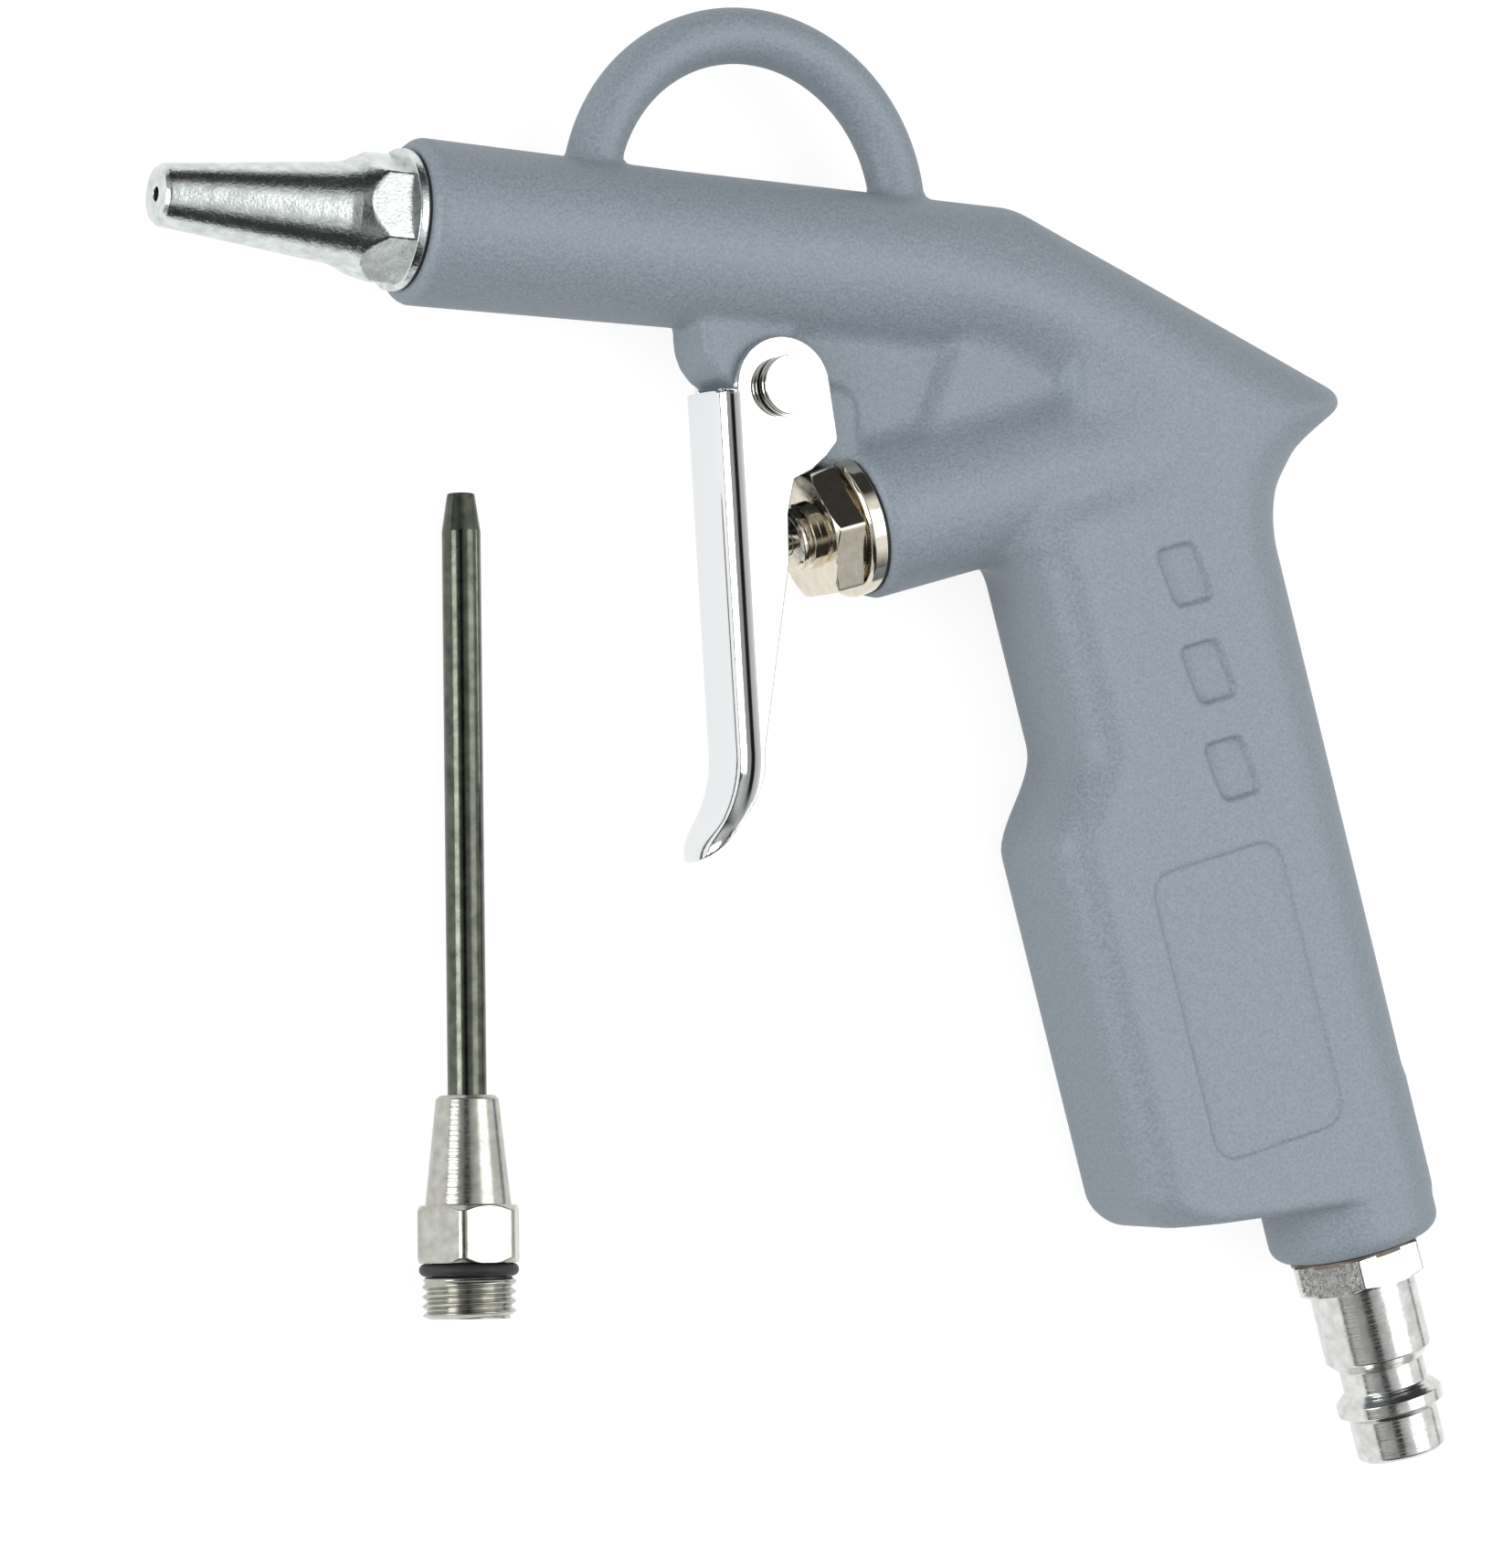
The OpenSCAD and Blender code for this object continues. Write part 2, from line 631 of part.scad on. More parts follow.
module body_pads() {
    pad = rounded(pad_w, pad_len, pad_corner_r, pad_skew);
    for (i = [0:pad_count - 1]) {
        sunk(pad_first + i * pad_pitch, -pad_offset, pad_depth, pad);
        mirror([0, 0, 1]) sunk(pad_first + i * pad_pitch, -pad_offset, pad_depth, pad);
    }
    sunk(panel_mid, -panel_offset, panel_depth, rounded(panel_w, panel_len, panel_corner_r));
}

module body() {
    color("#979ea9") place() difference() {
        union() {
            loft(sections);
            barrel();
            valve_housing();
            inlet_boss();
            hook();
            web();
            rib();
            lug();
        }
        body_bores();
        body_pads();
    }
}

// Trigger: a channel bent from sheet, drawn about its pivot with its front square to X
trigger_w = lug_t + 2 * lug_play + 2 * sheet_t;
function web_normal(a) = [cos(front_lean + a), sin(front_lean + a)];
function tangent(a) = [sin(front_lean + a), -cos(front_lean + a)];

module channel(depth) {
    wo = trigger_w / 2;
    wi = wo - sheet_t;
    ri = bend_edge_r - sheet_t;
    polygon(concat(
        [[depth, -wo]], [for (i = [0:arc_steps]) let (a = -90 - 90 * i / arc_steps)
            [bend_edge_r + bend_edge_r * cos(a), bend_edge_r - wo + bend_edge_r * sin(a)]],
        [for (i = [0:arc_steps]) let (a = 180 - 90 * i / arc_steps)
            [bend_edge_r + bend_edge_r * cos(a), wo - bend_edge_r + bend_edge_r * sin(a)]],
        [[depth, wo], [depth, wi]],
        [for (i = [0:arc_steps]) let (a = 90 + 90 * i / arc_steps)
            [bend_edge_r + ri * cos(a), wo - bend_edge_r + ri * sin(a)]],
        [for (i = [0:arc_steps]) let (a = 180 + 90 * i / arc_steps)
            [bend_edge_r + ri * cos(a), bend_edge_r - wo + ri * sin(a)]],
        [[depth, -wi]]
    ));
}

ear_corner_r = 1.2;
function side_view() = concat(
    [[-ear_r, -front_len], [-ear_r, 0]],
    arc([0, 0], ear_r, 180, 15, 2 * arc_steps),
    arc([ear_reach - ear_corner_r, -ear_drop + ear_corner_r], ear_corner_r, 0, -60, 4),
    [[neck_depth - ear_r, -neck_drop], [neck_depth - ear_r - sheet_t, -2 * neck_drop]],
    [[toe_depth - ear_r, -front_len]]
);

module trigger() {
    color("#eceef0") place() translate([pivot.x, pivot.y, 0]) rotate([0, 0, front_lean]) {
        difference() {
            union() {
                intersection() {
                    slab(trigger_w, side_view());
                    union() {
                        translate([-ear_r, front_top, 0]) rotate([90, 0, 0])
                            linear_extrude(height = front_len + front_top) channel(2 * ear_r + over);
                        for (s = [0, 1]) mirror([0, 0, s])
                            translate([-ear_r, -ear_drop, trigger_w / 2 - sheet_t])
                                cube([3 * ear_r, 2 * ear_drop, sheet_t]);
                    }
                }
                trigger_curl();
            }
            translate([0, 0, -trigger_w / 2 - over])
                cylinder(h = trigger_w + 2 * over, d = pin_d + 2 * fit);
        }
    }
}

// The curl sweeps a little past its end, and a flat blank with round corners trims it
curl_spare = 2;
module trigger_curl() {
    translate([-ear_r - curl_r, -front_len, 0]) intersection() {
        mirror([0, 1, 0]) rotate_extrude(angle = curl_angle + curl_spare)
            translate([curl_r, 0]) channel(toe_depth);
        rotate([0, 0, -curl_angle]) rotate([0, 90, 0]) linear_extrude(height = curl_r + toe_depth + over)
            translate([0, curl_r]) polygon(rounded(trigger_w + 2 * fit, 2 * curl_r, tip_corner_r));
    }
}

clip_z = -trigger_w / 2 - fit - clip_t;
groove_d = pin_d * 3 / 4;
module pivot_pin() {
    z0 = trigger_w / 2 + fit;
    tail = clip_z - clip_t;
    r = pin_d / 2;
    g = groove_d / 2;
    head = pin_head_d / 2;
    step = pin_head_h / 2;
    color("#e4e4e2") place() translate([pivot.x, pivot.y, 0]) rotate_extrude()
        polygon([
            [0, tail], [r - clip_t / 2, tail], [r, tail + clip_t / 2], [r, clip_z],
            [g, clip_z], [g, clip_z + clip_t + fit], [r, clip_z + clip_t + fit], [r, z0],
            [head, z0], [head, z0 + step], [head - clip_t / 2, z0 + step],
            [head - clip_t / 2, z0 + pin_head_h], [0, z0 + pin_head_h]
        ]);
}

module pin_clip() {
    bridge = groove_d - 2 * fit;
    color("#8f9092") place() translate([pivot.x, pivot.y, clip_z + fit / 2])
        linear_extrude(height = clip_t) difference() {
            circle(d = clip_d);
            circle(d = groove_d + 2 * fit);
            translate([0, -clip_d / 2]) square([bridge, clip_d], center = true);
        }
}

// Valve cartridge: collar, hexagon and the bored sleeve that screws into the housing
hex_face = -gasket_t - collar_h - relief_h - cartridge_hex_h;
gland_flange = 0.8;
gland_shank_d = gland_d - 2 * gland_flange;
gland_seat = hex_face + gland_h * 2 / 3;
stem_ring_t = (gland_shank_d - stem_d) / 2 - fit;
guide_end = 2.6;
neck_wall = 1.5;
neck_d = seat_d + 2 * neck_wall;
oring_squeeze = 0.15;
oring_groove_d = land_d - 2 * (oring_t - oring_squeeze);
cross_hole_d = 2.6;
cross_holes = 4;

module valve_cartridge() {
    ro = valve_thread_d / 2 - fit;
    land_r = land_d / 2 - fit;
    og = oring_groove_d / 2;
    groove_mid = seat_depth - land_len / 2;
    color("#b9b4a8") place() into_valve(0) difference() {
        union() {
            rotate_extrude() polygon([
                [0, hex_face + over], [relief_r(), hex_face + over], [relief_r(), -gasket_t - collar_h],
                [collar_d / 2 - chamfer_c, -gasket_t - collar_h],
                [collar_d / 2, chamfer_c - gasket_t - collar_h], [collar_d / 2, -gasket_t],
                [ro, -gasket_t], [ro, valve_thread_len - fit], [neck_d / 2, valve_thread_len - fit],
                [neck_d / 2, cartridge_neck_end], [land_r, cartridge_neck_end],
                [land_r, groove_mid - oring_t / 2 - fit], [og, groove_mid - oring_t / 2 - fit],
                [og, groove_mid + oring_t / 2 + fit], [land_r, groove_mid + oring_t / 2 + fit],
                [land_r, seat_depth - chamfer_c], [seat_d / 2 + chamfer_c, seat_depth], [0, seat_depth]
            ]);
            translate([0, 0, hex_face]) hexagon(cartridge_af, cartridge_hex_h, 1, 0);
        }
        translate([0, 0, hex_face - over]) cylinder(h = seat_depth - hex_face, d = stem_d + 2 * fit);
        translate([0, 0, hex_face - over]) cylinder(h = gland_seat - hex_face + stem_ring_t + 2 * fit + over,
            d = gland_shank_d + 2 * fit);
        translate([0, 0, guide_end]) cylinder(h = seat_depth - guide_end + over, d = seat_d);
        for (i = [0:cross_holes - 1]) rotate([0, 0, 360 * i / cross_holes])
            translate([0, 0, riser_depth]) rotate([0, 90, 0])
                cylinder(h = neck_d / 2 + over, d = cross_hole_d);
    }
}
function relief_r() = cartridge_af / 2 - chamfer_c;

module cartridge_gasket() {
    color("#1e1f21") place() into_valve(-gasket_t) linear_extrude(height = gasket_t) difference() {
        circle(d = collar_d - chamfer_c);
        circle(d = valve_thread_d + 2 * fit);
    }
}

// A rubber ring of round section about the valve's axis
module rubber_ring(inner_d, t) {
    rotate_extrude() translate([inner_d / 2 + t / 2, 0]) circle(d = t);
}

module cartridge_oring() {
    t = (land_d - oring_groove_d) / 2 - fit;
    color("#232325") place() into_valve(seat_depth - land_len / 2)
        rubber_ring(oring_groove_d + fit, t);
}

module gland_bush() {
    r = gland_d / 2;
    s = gland_shank_d / 2;
    top = hex_face - gland_h;
    groove = gland_h / 3;
    color("#aca79c") place() into_valve(0) rotate_extrude() polygon([
        [stem_d / 2 + fit, top], [r - chamfer_c, top], [r, top + chamfer_c], [r, top + groove],
        [r - chamfer_c, top + groove], [r - chamfer_c, top + groove + groove / 2],
        [r, top + groove + groove / 2], [r, hex_face], [s, hex_face], [s, gland_seat],
        [stem_d / 2 + fit, gland_seat]
    ]);
}

module stem_oring() {
    color("#232325") place() into_valve(gland_seat + stem_ring_t / 2 + fit)
        rubber_ring(stem_d + 2 * fit, stem_ring_t - fit);
}

// The stem reaches from the trigger's front to the valve disc behind the seat
stem_nose_r = stem_d / 2;
face_to_pivot = boss_face - pivot;
function stem_reach(a) = let (
    n = web_normal(a),
    lean = n * [cos(grip_lean), sin(grip_lean)]
) (n * face_to_pivot + front_r - stem_nose_r * (1 - lean)) / lean;
stem_out = stem_reach(0) - rest_gap;
stem_travel = stem_reach(0) - stem_reach(press_angle);
plate_t = 2;
disc_at = seat_depth + fit;
plate_at = disc_at + disc_t + fit;
spigot_len = 2.5;
spigot_play = 0.6;
spigot_d = spring_d - spring_wire_d - 2 * spigot_play;
module valve_stem() {
    r = stem_d / 2;
    color("#c9c7c1") place() into_valve(0) rotate_extrude() polygon(concat(
        [[0, -stem_out]],
        [for (i = [1:4]) [r * sin(i * 90 / 4), r - r * cos(i * 90 / 4) - stem_out]],
        [[r, plate_at], [disc_d / 2, plate_at], [disc_d / 2, plate_at + plate_t]],
        [[spigot_d / 2, plate_at + plate_t], [spigot_d / 2, plate_at + plate_t + spigot_len]],
        [[0, plate_at + plate_t + spigot_len]]
    ));
}

module valve_disc() {
    color("#2a2a2c") place() into_valve(disc_at) linear_extrude(height = disc_t) difference() {
        circle(d = disc_d);
        circle(d = stem_d + 2 * fit);
    }
}

// The spring is one tube whose rings follow a helix and close up at both ends
spring_from = plate_at + plate_t + spring_wire_d / 2 + fit;
spring_to = chamber_depth - spring_wire_d / 2 - fit;
rings_a_turn = 8;
spring_rings = spring_turns * rings_a_turn;
// A share of the helix at each end lies nearly flat
end_share = 0.14;
end_lift = 0.5;
function rise_share(t) = t < end_share ? t * end_lift
    : t > 1 - end_share ? 1 - (1 - t) * end_lift
    : mix(end_share * end_lift, 1 - end_share * end_lift, (t - end_share) / (1 - 2 * end_share));
function spring_point(i) = let (t = i / spring_rings, a = 360 * spring_turns * t)
    [spring_d / 2 * cos(a), spring_d / 2 * sin(a), mix(spring_from, spring_to, rise_share(t))];
wire_sides = 6;
function spring_ring(i) = let (c = spring_point(i), a = 360 * spring_turns * i / spring_rings)
    [for (k = [0:wire_sides - 1]) let (q = 360 * k / wire_sides, r = spring_wire_d / 2)
        c + [r * cos(q) * cos(a), r * cos(q) * sin(a), r * sin(q)]];
spring_gaps = [for (i = [0:spring_rings - rings_a_turn])
    norm(spring_point(i + rings_a_turn) - spring_point(i)) - spring_wire_d];
echo(spring_least_gap = min(spring_gaps), stem_travel = stem_travel, stem_out = stem_out);

module valve_spring() {
    color("#b5b6b8") place() into_valve(0) loft([for (i = [spring_rings:-1:0]) spring_ring(i)]);
}

// Short nozzle, drawn with Z pointing forward from the mouth
module out_of_mouth(x) { on_barrel(0) mirror([0, 0, 1]) translate([0, 0, x]) children(); }
nozzle_hex_at = nozzle_seal_t + nozzle_washer_t;
nozzle_thread_len = outlet_thread_len * 3 / 4;
nozzle_cut_share = 1.4;
module short_nozzle() {
    r = nozzle_root_d / 2;
    flare_turn = 2 * atan((nozzle_af / 2 - r) / nozzle_flare_len);
    flare_r = nozzle_flare_len / sin(flare_turn);
    hex_end = nozzle_hex_at + nozzle_hex_h;
    t = outlet_thread_d / 2 - fit;
    color("#c3c6c4") place() out_of_mouth(0) difference() {
        union() {
            translate([0, 0, nozzle_hex_at]) hexagon(nozzle_af, nozzle_hex_h, 0, nozzle_cut_share);
            rotate_extrude() polygon(concat(
                [[0, -nozzle_thread_len], [t - chamfer_c, -nozzle_thread_len],
                    [t, chamfer_c - nozzle_thread_len], [t, nozzle_hex_at + root], [r, hex_end - root]],
                arc([r + flare_r, hex_end + nozzle_flare_len], flare_r, 180 + flare_turn, 180, 5),
                [[nozzle_tip_d / 2, nozzle_reach - chamfer_c], [nozzle_tip_d / 2 - chamfer_c, nozzle_reach],
                    [0, nozzle_reach]]
            ));
        }
        translate([0, 0, -nozzle_thread_len - over])
            cylinder(h = nozzle_thread_len + nozzle_reach + 2 * over, d = nozzle_hole_d);
        translate([0, 0, -nozzle_thread_len - over])
            cylinder(h = nozzle_thread_len + nozzle_reach / 2, d = air_way_d * 2 / 3);
    }
}

module flat_ring(outer_d, inner_d, t) {
    linear_extrude(height = t) difference() {
        circle(d = outer_d);
        circle(d = inner_d);
    }
}

module nozzle_washer() {
    color("#cfd1cf") place() out_of_mouth(nozzle_seal_t)
        flat_ring(nozzle_washer_d, outlet_thread_d + 2 * fit, nozzle_washer_t);
}

module nozzle_seal() {
    color("#1d1d1f") place() out_of_mouth(0)
        flat_ring(nozzle_washer_d - chamfer_c, outlet_thread_d + 2 * fit, nozzle_seal_t);
}

// Quick plug, drawn with Z pointing down from the inlet boss
plug_chamfer = 1.2;
ring_half = 0.65;
module quick_plug() {
    hex_at = plug_washer_t;
    h = hex_at + plug_hex_h;
    ring = h + plug_ring_at;
    stub = inlet_thread_d / 2 - fit;
    stub_len = inlet_thread_len - over;
    rs = plug_ring_d / 2;
    rn = plug_neck_d / 2;
    re = plug_end_d / 2;
    color("#a9aaa4") place() down_grip(inlet_len) difference() {
        union() {
            translate([0, 0, hex_at]) hexagon(plug_af, plug_hex_h, 0, 1);
            rotate_extrude() polygon([
                [0, -stub_len], [stub - chamfer_c, -stub_len], [stub, chamfer_c - stub_len],
                [stub, hex_at + root], [rs, h - root], [rs, h + plug_shaft_len],
                [rn, h + plug_shaft_len + plug_chamfer], [rn, ring - ring_half - plug_chamfer],
                [rs, ring - ring_half], [rs, ring + ring_half], [re, ring + 2 * ring_half],
                [re, ring + plug_end_len - chamfer_c], [re - chamfer_c, ring + plug_end_len],
                [0, ring + plug_end_len]
            ]);
        }
        translate([0, 0, -stub_len - over])
            cylinder(h = stub_len + ring + plug_end_len + 2 * over, d = plug_bore_d);
    }
}

module plug_washer() {
    color("#5a5b5c") place() down_grip(inlet_len)
        flat_ring(plug_af + chamfer_c, inlet_thread_d + 2 * fit, plug_washer_t);
}

// Spare extension nozzle. It lies on the floor on a flat of its hexagon and on the tube's tip, so
// its axis dips towards the tip. It is drawn with Z pointing from the tube's tip to the thread.
ext_hex_from = ext_tube_len + ext_cone_len;
ext_dip = asin((ext_af / 2 - ext_tube_d / 2) / (ext_hex_from - ext_tip_len));
module lie_spare() {
    translate([ext_tip_x, -ext_tip_drop, 0]) rotate([0, 0, ext_turn])
        translate([0, 0, -grip_h]) rotate([0, 0, -90])
            translate([ext_tip_len, 0, (ext_tube_d / 2) / cos(ext_dip)]) rotate([0, 90 - ext_dip, 0])
                translate([0, 0, -ext_tip_len]) rotate([0, 0, 90]) children();
}
ext_socket = ext_cone_len * 2 / 3;
ext_neck_cut = 1.2;
ext_neck_d = outlet_thread_d - 2 * ext_neck_cut;

module extension_tube() {
    r = ext_tube_d / 2;
    b = ext_bore_d / 2;
    end = ext_tube_len + ext_socket - fit;
    color("#c8cacb") place() lie_spare() rotate_extrude() polygon([
        [b, end], [b, ext_tip_len], [ext_tip_d / 2 - chamfer_c, ext_tip_len / 2],
        [ext_tip_d / 2 - chamfer_c, 0], [ext_tip_d / 2, 0], [r, ext_tip_len], [r, end]
    ]);
}

module extension_adapter() {
    t = outlet_thread_d / 2 - fit;
    hex_end = ext_hex_from + ext_hex_h;
    seat = hex_end + ext_ring_t;
    color("#c0c2c1") place() lie_spare() difference() {
        union() {
            translate([0, 0, ext_hex_from]) hexagon(ext_af, ext_hex_h, 1, 1);
            rotate_extrude() polygon([
                [0, ext_tube_len], [ext_cone_tip_d / 2 - chamfer_c, ext_tube_len],
                [ext_cone_tip_d / 2, ext_tube_len + chamfer_c], [ext_cone_root_d / 2, ext_hex_from],
                [ext_cone_root_d / 2, hex_end - root], [ext_neck_d / 2, hex_end - root],
                [ext_neck_d / 2, seat], [t, seat + chamfer_c],
                [t, seat + ext_thread_len - chamfer_c], [t - chamfer_c, seat + ext_thread_len],
                [0, seat + ext_thread_len]
            ]);
        }
        translate([0, 0, ext_tube_len - over]) cylinder(h = ext_socket + over, d = ext_tube_d + 2 * fit);
        translate([0, 0, ext_tube_len])
            cylinder(h = seat + ext_thread_len - ext_tube_len + over, d = ext_bore_d);
    }
}

module extension_ring() {
    color("#1b1b1d") place() lie_spare() translate([0, 0, ext_hex_from + ext_hex_h + ext_ring_t / 2])
        rubber_ring(ext_neck_d + 2 * fit, ext_ring_t - fit);
}

body();
trigger();
pivot_pin();
pin_clip();
valve_cartridge();
cartridge_gasket();
cartridge_oring();
gland_bush();
stem_oring();
valve_stem();
valve_disc();
valve_spring();
short_nozzle();
nozzle_washer();
nozzle_seal();
quick_plug();
plug_washer();
extension_tube();
extension_adapter();
extension_ring();
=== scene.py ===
# %% [markdown]
# # A die-cast air duster gun, lying on a white table
# The gun is one painted aluminium casting with turned and bent metal pieces on it. The packed
# model gives every piece its size and place. This script dresses it: first come the tools that
# turn formulas into meshes, then the pieces one by one, then finishes, light and camera.

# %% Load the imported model
import json
import math

import bmesh
import bpy
import numpy as np
from mathutils import Matrix


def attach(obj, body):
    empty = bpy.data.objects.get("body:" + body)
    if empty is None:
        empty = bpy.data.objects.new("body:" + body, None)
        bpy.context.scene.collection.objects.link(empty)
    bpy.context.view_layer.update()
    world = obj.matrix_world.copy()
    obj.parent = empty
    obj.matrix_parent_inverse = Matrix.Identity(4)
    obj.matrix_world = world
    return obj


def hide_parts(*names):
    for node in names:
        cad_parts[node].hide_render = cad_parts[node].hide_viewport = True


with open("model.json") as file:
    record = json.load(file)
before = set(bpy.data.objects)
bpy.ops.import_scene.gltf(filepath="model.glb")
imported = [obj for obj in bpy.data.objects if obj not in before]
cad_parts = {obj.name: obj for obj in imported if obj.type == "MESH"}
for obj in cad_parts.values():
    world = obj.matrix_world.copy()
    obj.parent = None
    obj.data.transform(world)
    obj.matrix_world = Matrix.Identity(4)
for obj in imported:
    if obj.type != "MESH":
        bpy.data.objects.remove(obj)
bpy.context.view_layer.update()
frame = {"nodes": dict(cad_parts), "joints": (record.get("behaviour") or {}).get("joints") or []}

# %% [markdown]
# ## Two rulers
# Lengths are written in millimetres in the gun's own axes, because that is how the casting was
# drawn: X runs along the barrel from its mouth, Y points up to the hook and Z out of the side in
# view. The trigger's pivot is a known point in both sets of axes, so it ties them together.

# %% Axes of the gun and of its grip
MM = 0.001
pivot = np.array(frame["joints"][0]["pos_m"]) / MM
PIVOT_X, PIVOT_Y = 41.7, -14.25
PIN_X, PIN_Y = PIVOT_X + 0.6, PIVOT_Y - 0.1
origin = pivot - np.array([PIVOT_X, PIVOT_Y, 0.0])
LEAN = math.radians(17.8)
GRIP_X = 86.85
HALF = 9.2


def to_part(points):
    """Points in the gun's axes, in mm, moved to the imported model's axes, in metres."""
    return (np.asarray(points, float) + origin) * MM


def grip_axes(x, y):
    """u is the distance down the grip's axis, and w the distance behind it."""
    dx = x - GRIP_X
    return dx * math.sin(LEAN) - y * math.cos(LEAN), dx * math.cos(LEAN) + y * math.sin(LEAN)


def on_grip(u, w):
    """The point at u and w, in the gun's X and Y."""
    return [GRIP_X + u * math.sin(LEAN) + w * math.cos(LEAN), w * math.sin(LEAN) - u * math.cos(LEAN)]


print("gun's origin in the model, mm:", origin.round(2))

# %% [markdown]
# ## Turning arrays into meshes
# A mesh is two arrays: corner points, and for each face the numbers of its corners. The points
# are written in one go, which is far quicker than one at a time.


# %% A mesh object from two arrays
def make_piece(name, points, faces, normals=None):
    """Faces is an array with three or four point numbers in each row."""
    mesh = bpy.data.meshes.new(name)
    count, sides = faces.shape
    mesh.vertices.add(len(points))
    mesh.vertices.foreach_set("co", np.ascontiguousarray(points, np.float32).ravel())
    mesh.loops.add(count * sides)
    mesh.loops.foreach_set("vertex_index", faces.astype(np.int32).ravel())
    mesh.polygons.add(count)
    mesh.polygons.foreach_set("loop_start", np.arange(count, dtype=np.int32) * sides)
    mesh.update(calc_edges=True)
    mesh.validate()
    mesh.polygons.foreach_set("use_smooth", np.ones(len(mesh.polygons), bool))
    piece = bpy.data.objects.new(name, mesh)
    bpy.context.scene.collection.objects.link(piece)
    print(name, len(points), "points", count, "faces")
    return piece


# %% [markdown]
# ## A skin round a distance field
# The casting has no sharp edge anywhere: tubes, plates and bosses run into each other with
# fillets. Its shape is written as a field, a number at every point in space that is negative
# inside and roughly the distance to the surface. Fields blend with one formula. A grid of cells
# then finds the surface: each cell that the surface crosses gets one point, and each grid edge
# that it crosses joins the four points round that edge.


# %% Skin a field
def skin(field, axes, rounds=4):
    """Each crossed cell's point starts at the mean of the crossings on its twelve edges, and then
    slides to the surface: point minus field times gradient over the gradient's square."""
    x, y, z = np.meshgrid(*axes, indexing="ij", sparse=True)
    f = field(x, y, z)
    inside = f < 0
    cells = tuple(n - 1 for n in f.shape)
    total = np.zeros(cells + (3,))
    hits = np.zeros(cells)
    edges = []
    for a in range(3):
        b, c = (a + 1) % 3, (a + 2) % 3
        low = [slice(None)] * 3
        high = [slice(None)] * 3
        low[a], high[a] = slice(None, -1), slice(1, None)
        f0, f1 = f[tuple(low)], f[tuple(high)]
        crossed = inside[tuple(low)] != inside[tuple(high)]
        i = np.argwhere(crossed)
        edges.append((a, b, c, i, inside[tuple(low)][crossed]))
        t = f0[crossed] / (f0[crossed] - f1[crossed])
        hit = np.stack([axes[k][i[:, k]] for k in range(3)], axis=1)
        hit[:, a] += t * (axes[a][i[:, a] + 1] - axes[a][i[:, a]])
        for db in (0, 1):
            for dc in (0, 1):
                j = i.copy()
                j[:, b] -= db
                j[:, c] -= dc
                np.add.at(total, tuple(j.T), hit)
                np.add.at(hits, tuple(j.T), 1)
    used = hits > 0
    number = np.full(cells, -1)
    number[used] = np.arange(used.sum())
    points = total[used] / hits[used][:, None]
    quads = []
    for a, b, c, i, low_inside in edges:
        ring = []
        for db, dc in ((1, 1), (0, 1), (0, 0), (1, 0)):
            j = i.copy()
            j[:, b] -= db
            j[:, c] -= dc
            ring.append(number[tuple(j.T)])
        ring = np.stack(ring, axis=1)
        ring[~low_inside] = ring[~low_inside][:, ::-1]
        quads.append(ring)
    reach = min(float(np.diff(axis).min()) for axis in axes) * 0.7
    nudge = reach / 10
    for _ in range(rounds):
        here = field(*points.T)
        slope = np.stack([
            (field(*(points + nudge * axis).T) - field(*(points - nudge * axis).T)) / (2 * nudge)
            for axis in np.eye(3)
        ], axis=1)
        step = here / np.maximum((slope ** 2).sum(axis=1), 0.25)
        move = -slope * step[:, None]
        size = np.maximum(np.linalg.norm(move, axis=1), 1e-9)
        points = points + move * np.minimum(1, reach / size)[:, None]
    return points, np.concatenate(quads)


# %% [markdown]
# ## Words for a field
# Few words are enough: a plate with a rounded rim, a drum with rounded ends, a tube along a line,
# and the two blends that put a fillet where shapes meet and a soft edge where one cuts another.


# %% Fields and blends
def outline_distance(x, y, outline):
    """Distance to the nearest side of a closed outline, negative inside. A side's nearest point
    is its start plus the clamped projection, and a point is inside if a ray crosses an odd number
    of sides."""
    best, inside = np.inf, False
    for (ax, ay), (bx, by) in zip(outline, np.roll(outline, -1, axis=0)):
        ex, ey, px, py = bx - ax, by - ay, x - ax, y - ay
        t = np.clip((px * ex + py * ey) / (ex * ex + ey * ey), 0, 1)
        best = np.minimum(best, (px - t * ex) ** 2 + (py - t * ey) ** 2)
        inside = inside ^ (((ay > y) != (by > y)) & (px < ex * py / (ey if ey else 1.0)))
    return np.where(inside, -1, 1) * np.sqrt(best)


def rim(a, b, r):
    """Two distances meet in a corner of radius r: the length of what both stand out, less r."""
    a, b = a + r, b + r
    return np.hypot(np.maximum(a, 0), np.maximum(b, 0)) + np.minimum(np.maximum(a, b), 0) - r


def drum(along, across, length, r, edge):
    """A round bar from along = 0 to length, with its ends' edges rounded."""
    return rim(across - r, np.abs(along - length / 2) - length / 2, edge)


def join(a, b, k):
    """Union with a fillet: the smaller, less (k - difference)^2 / 4k where they are closer than k."""
    h = np.maximum(k - np.abs(a - b), 0)
    return np.minimum(a, b) - h * h / np.maximum(4 * k, 1e-9)


def cut(a, b, k):
    """a without b, with a soft edge."""
    return -join(-a, b, k)


def ramp(t, start, end):
    """0 before start, 1 after end, and t^2 (3 - 2t) between."""
    t = np.clip((t - start) / (end - start), 0, 1)
    return t * t * (3 - 2 * t)


def arc(cx, cy, r, start, end, steps=10):
    """Points along a circle, from start to end in degrees."""
    a = np.radians(np.linspace(start, end, steps + 1))
    return [[cx + r * c, cy + r * s] for c, s in zip(np.cos(a), np.sin(a))]


print("a fillet of 1 mm fills a corner by", -join(0.0, 0.0, 1.0), "mm")

